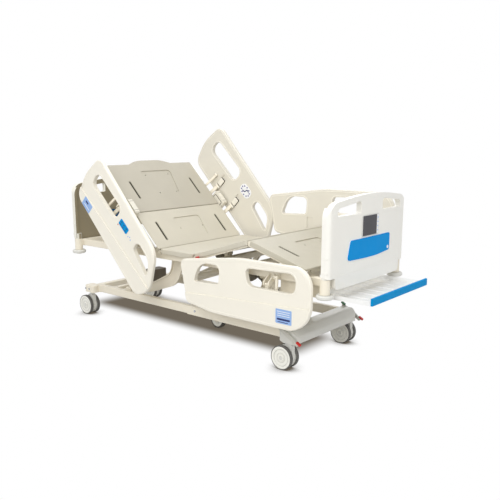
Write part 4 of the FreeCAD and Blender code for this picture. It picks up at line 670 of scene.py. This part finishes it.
# White bars beside the back, and the latch box between the rail arms
def edgeBars(side):
    place = backSide(side, EDGE_BAR_Y)
    for number, (start, end) in enumerate(EDGE_BARS):
        tube(f"edge_bar_{side}_{number}", place(start, -4, 0), place(end, -4, 0), 7.5, WHITE, "back")
        for foot in (start + EDGE_BAR_FOOT, end - EDGE_BAR_FOOT):
            tube(f"edge_bar_foot_{side}_{number}_{foot}", place(foot, -4, -1),
                 place(foot, -4, -11.5), 5.0, POWDER, "back", 14)
    outward = backSide(side, LATCH_Y)
    inward = lambda a, b, d: outward(a, b, -d)
    plate(f"latch_box_{side}", LATCH_BOX, outward, 0, 40, IVORY_PAINTED_SHADE, "back", 3.0)
    # Dark rim round the lid: painted shade in its gap; dark seams across the box
    plate(f"latch_gap_shade_{side}", rectangle(357, 2, 92, 54, 12), inward, -0.5, 0.8, SHADE_AND_SEAM_FILL, "back", 0.3)
    plate(f"latch_lid_{side}", rectangle(357, 2, 84, 46, 10), inward, 0.5, 3.0, IVORY_PAINTED_SHADE, "back", 1.0)
    for number, along in enumerate(LATCH_SEAMS):
        plate(f"latch_seam_{side}_{number}", rectangle(along, 20, 4, 56.6, 1.9), outward, 2, 39, SHADE_AND_SEAM_FILL,
              "back", 0.3)


for side in SIGN:
    edgeBars(side)
print("edge bars and latch boxes")


# Foot board and head board

GLASS_PLACE = (-34, 869)
KEYS_PLACE = (56, 869)
FIRST_KEY_Z = 832
KEY_PITCH = 25
DOT_PLACE = (194, 715)
WING_STEP_REACH = 1132
WING_STEP_LEVELS = (640, 720)


# Outer face of the foot board: across, up, out of its bulged face
def onFace(a, b, depth):
    return (BOARD_EDGE_X + BOARD_BULGE * (1 - (a / BOARD_HALF) ** 2) + depth, a, b)


def onHeadFace(a, b, depth):
    x, y, z = onFace(a, b, depth)
    return (2 * BED_MIDDLE_X - x, y, z)


for node, place in (("footboard", onFace), ("headboard", onHeadFace)):
    bead(f"{node}_rim", BOARD_RIM, 0.0, 5.0, 1.0, place, BOARD, node, 14)
    for side, sign in SIGN.items():
        grip = [(sign * a, b, r) for a, b, r in BOARD_GRIP]
        bead(f"{node}_grip_rim_{side}", grip, -8.0, 5.0, 1.2, place, BOARD, node)
bead("plate_edge", PLATE_OUTLINE, -5.5, 5.5, 1.8, onFace, WHITE, "footboard")
plate("screen_glass", rectangle(*GLASS_PLACE, 154, 114, 5), onFace, 5.4, 8.2, GLASS, "footboard")
plate("screen_keys", rectangle(*KEYS_PLACE, 16, 112, 3), onFace, 5.4, 7.8, WHITE, "footboard")
for row in range(4):
    plate(f"screen_key_{row}", rectangle(KEYS_PLACE[0], FIRST_KEY_Z + KEY_PITCH * row, 8, 8, 3.9),
          onFace, 7.4, 8.6, LABEL, "footboard", 0.3)
plate("plate_dot", rectangle(*DOT_PLACE, 20, 20, 9.9), onFace, 5.0, 8.4, WHITE, "footboard")
# Blue plate on the head board's inner face, darker than the foot board's: painted shade
plate("headboard_plate", PLATE_OUTLINE, lambda a, b, d: (2 * BED_MIDDLE_X - BOARD_INNER_X + d, a, b),
      -1.0, 3.0, BLUE_PLATE_PAINTED_SHADE, "headboard")
for node, way in (("footboard", 1), ("headboard", -1)):
    for side, sign in SIGN.items():
        outward = lambda a, b, d: (BED_MIDDLE_X + way * a, sign * (BOARD_SIDE + d), b)
        for number, level in enumerate(WING_STEP_LEVELS):
            plate(f"{node}_wing_step_{side}_{number}", rectangle(WING_STEP_REACH, level, 34, 7, 3.4),
                  outward, -1.5, 1.6, BOARD, node, 0.8)
print("boards")


# Rims, controls and labels on the side rails

# Outer face of a rail, which stands further out below its ledge
def outerFace(end, side):
    place = onRail(end, side, RAIL_OUTER[end])
    (a0, b0), (a1, b1) = LEDGE[end]

    def stepped(a, b, depth):
        low = b < b0 + (b1 - b0) * (a - a0) / (a1 - a0)
        return place(a, b, depth + (LEDGE_STEP if low else 0))
    return stepped


# Inner face of a rail, depth growing inward
def innerFace(end, side):
    place = onRail(end, side, RAIL_INNER[end])
    return lambda a, b, depth: place(a, b, -depth)


for end, outline, windows in (("head", HEAD_RAIL, HEAD_WINDOWS), ("foot", FOOT_RAIL, FOOT_WINDOWS)):
    for side in SIGN:
        node = f"{end}_{side}_rail"
        outer, inner = outerFace(end, side), innerFace(end, side)
        bead(f"{node}_rim", outline, 13.0, 5.0, 1.3, outer, IVORY, node, 12)
        bead(f"{node}_inner_rim", outline, 13.0, 5.0, 1.3, inner, IVORY, node, 12)
        for number, window in enumerate(windows):
            bead(f"{node}_grip_rim_{number}", window, -11.0, 6.0, 1.4, outer, IVORY, node, 12)
            bead(f"{node}_grip_inner_{number}", window, -11.0, 6.0, 1.4, inner, IVORY, node, 12)
print("rail rims")


STRAPS_ALONG = (255, 460)
STRAP_LEVEL = -58


# Caps over the arm lugs on the inner face of a head rail
def strapCaps(side):
    inner, node = innerFace("head", side), f"head_{side}_rail"
    for number, along in enumerate(STRAPS_ALONG):
        # Dark plate round each cap: painted shade in the gap
        plate(f"strap_gap_shade_{side}_{number}", rectangle(along, STRAP_LEVEL, 44, 62, 8), inner,
              -4.5, 2.6, SHADE_AND_SEAM_FILL, node, 0.6)
        plate(f"strap_cap_{side}_{number}", rectangle(along, STRAP_LEVEL, 40, 58, 7), inner,
              2.0, 10.0, IVORY, node, 2.0)


for side in SIGN:
    strapCaps(side)


def keypad():
    place, node = onRail("head", "right", RAIL_OUTER["head"]), "head_right_rail"
    plate("keypad_base", rectangle(280, 81, 104, 48, 9), place, -1, 3.5, AZURE, node, 1.0)
    for column in range(3):
        for row in range(2):
            plate(f"keypad_key_{column}_{row}", rectangle(249 + 31 * column, 71 + 20 * row, 11, 9, 4.4),
                  place, 3, 4.6, NAVY, node, 0.5)
    plate("keypad_lamp", rectangle(330, 44, 9, 9, 4.4), place, -1, 1.6, RED, node, 0.3)
    for number in range(3):
        plate(f"keypad_mark_{number}", rectangle(206 - 16 * number, 62 + 10 * (number % 2), 6, 12, 2.9),
              place, -1, 0.8, LABEL, node, 0.2)


ICON_CENTRE = (243, 77)
ICON_KEYS = 10
ICON_BARS = (((214, 92), (236, 96)), ((236, 96), (246, 66)), ((246, 66), (270, 62)))


# Round field with an oval of keys and a bent line in its middle
def iconPanel():
    place, node = innerFace("head", "left"), "head_left_rail"
    plate("icon_panel", rectangle(*ICON_CENTRE, 118, 84, 36), place, -1, 1.0, WHITE, node, 0.4)
    for number in range(ICON_KEYS):
        turn = math.radians(360 / ICON_KEYS * number + 10)
        along, up = ICON_CENTRE[0] + 45 * math.cos(turn), ICON_CENTRE[1] + 31 * math.sin(turn)
        plate(f"icon_key_{number}", rectangle(along, up, 11, 11, 5.4), place, 0.5, 2.2, PURPLE,
              node, 0.4)
    for number, (start, end) in enumerate(ICON_BARS):
        run = Vector((end[0] - start[0], end[1] - start[1]))
        across = Vector((-run.y, run.x)).normalized() * 3.6
        corners = [Vector(start) + across, Vector(start) - across, Vector(end) - across,
                   Vector(end) + across]
        plate(f"icon_bar_{number}", [(p.x, p.y, 3.2) for p in corners], place, 0.5, 1.8 + 0.1 * number,
              NAVY, node, 0.2)


# Label fields and the bars on them: name, rectangle, depths, material, bevel
def labels(end, pieces):
    place, node = onRail(end, "right", RAIL_OUTER[end] + LEDGE_STEP), f"{end}_right_rail"
    for name, shape, near, far, mat, bevel in pieces:
        plate(name, rectangle(*shape), place, near, far, mat, node, bevel)


keypad()
iconPanel()
labels("head", (("head_rail_label", (643, -111, 104, 72, 5), -1, 1.4, LABEL, 0.4),
                ("head_label_mark", (654, -98, 34, 12, 4), 1.2, 1.8, NAVY, 0.2),
                ("head_label_line", (636, -124, 70, 5, 2), 1.2, 1.8, WHITE, 0.2)))
labels("foot", (("foot_rail_label", (800, -86, 112, 84, 5), -1, 1.4, LABEL, 0.4),
                ("foot_label_mark", (800, -103, 92, 11, 4), 1.2, 1.8, NAVY, 0.2),
                ("foot_label_line_0", (800, -58, 92, 3, 1.4), 1.2, 1.7, WHITE, 0.2),
                ("foot_label_line_1", (800, -70, 84, 3, 1.4), 1.2, 1.7, WHITE, 0.2),
                ("foot_label_line_2", (800, -82, 88, 3, 1.4), 1.2, 1.7, WHITE, 0.2),
                ("foot_label_foot", (796, -119, 72, 4, 1.9), 1.2, 1.8, NAVY, 0.2)))
print("controls and labels")


# Hub caps and rings, bolts, and the motors' ribs and caps

DISC_RINGS = (30.0, 52.0)


def hubCaps(end, side, x):
    node = f"caster_{end}_{side}_wheels"
    for offset in (-WHEEL_OUTSIDE, WHEEL_OUTSIDE):
        way = 1 if offset > 0 else -1
        face = SIGN[side] * CASTER_TRACK + offset
        tube(f"hub_cap_{end}_{side}_{offset}", (x, face - way * 1.5, CASTER_AXLE_Z),
             (x, face + way * 2.0, CASTER_AXLE_Z), 13.0, BUMPER, node, 24, 1.2)
        disc = lambda a, b, d: (x + a, face + way * d, CASTER_AXLE_Z + b)
        for reach in DISC_RINGS:
            bead(f"disc_ring_{end}_{side}_{offset}_{reach:.0f}",
                 rectangle(0, 0, 2 * reach, 2 * reach, reach - 0.1), 0.0, 2.4, 0.9, disc,
                 BUMPER, node, 12)


for end, x in CASTER_X.items():
    for side in SIGN:
        hubCaps(end, side, x)


def bolt(name, x, y, z, way, radius):
    tube(name, (x, y - way * 1, z), (x, y + way * 4.0, z), radius, STEEL, "base", 6, 0.6)
    tube(name + "_washer", (x, y - way * 1, z), (x, y + way * 1.2, z), radius + 3, STEEL, "base",
         24, 0.3)


# Bolts on each side of the base: x, reach from the middle, z
BASE_BOLT = (-60, 324, 216)
CASTING_BOLTS = ((-1206, 372, 209), (-1162, 372, 209))
for side, sign in SIGN.items():
    x, y, z = BASE_BOLT
    bolt(f"base_bolt_{side}", x, sign * y, z, sign, 6.0)
    for number, (x, y, z) in enumerate(CASTING_BOLTS):
        bolt(f"casting_bolt_{side}_{number}", x, sign * y, z, sign, 5.0)

# The ends of each motor's casing, and the side (1 is left) on which its actuator's tube runs
MOTORS = {"head_lift_actuator": ((-676.9, 42.0, 509.7), (-573.3, 42.0, 449.0), -1),
          "foot_lift_actuator": ((136.1, -42.0, 509.7), (239.7, -42.0, 449.0), 1),
          "back_actuator": ((10.3, 172.0, 483.3), (-109.0, 172.0, 496.0), -1),
          "knee_actuator": ((322.0, -172.0, 488.2), (202.0, -172.0, 488.5), 1)}
RIB_COUNT = 6
FIRST_RIB = 0.16
RIB_PITCH = 0.13


# Ribs round a motor, cut flat where its actuator's tube runs, and the cap on its end
def motorRibs(body, start, end, toTube):
    start, end = Vector(start), Vector(end)
    run = (end - start).normalized()
    rise = Vector((-run.z, 0, run.x))
    across = Vector((0, toTube, 0))
    for number in range(RIB_COUNT):
        middle = start.lerp(end, FIRST_RIB + RIB_PITCH * number)
        plate(f"{body}_rib_{number}", MOTOR_RIB,
              lambda a, b, d: middle + across * a + rise * b + run * d,
              -3.0, 3.0, MOTOR, body, 1.0, 12)
    tube(f"{body}_cap", end - run * 2, end + run * 5, 18.0, DARK, body, 32, 1.5)


for body, (start, end, toTube) in MOTORS.items():
    motorRibs(body, start, end, toTube)
print("base and motor details")
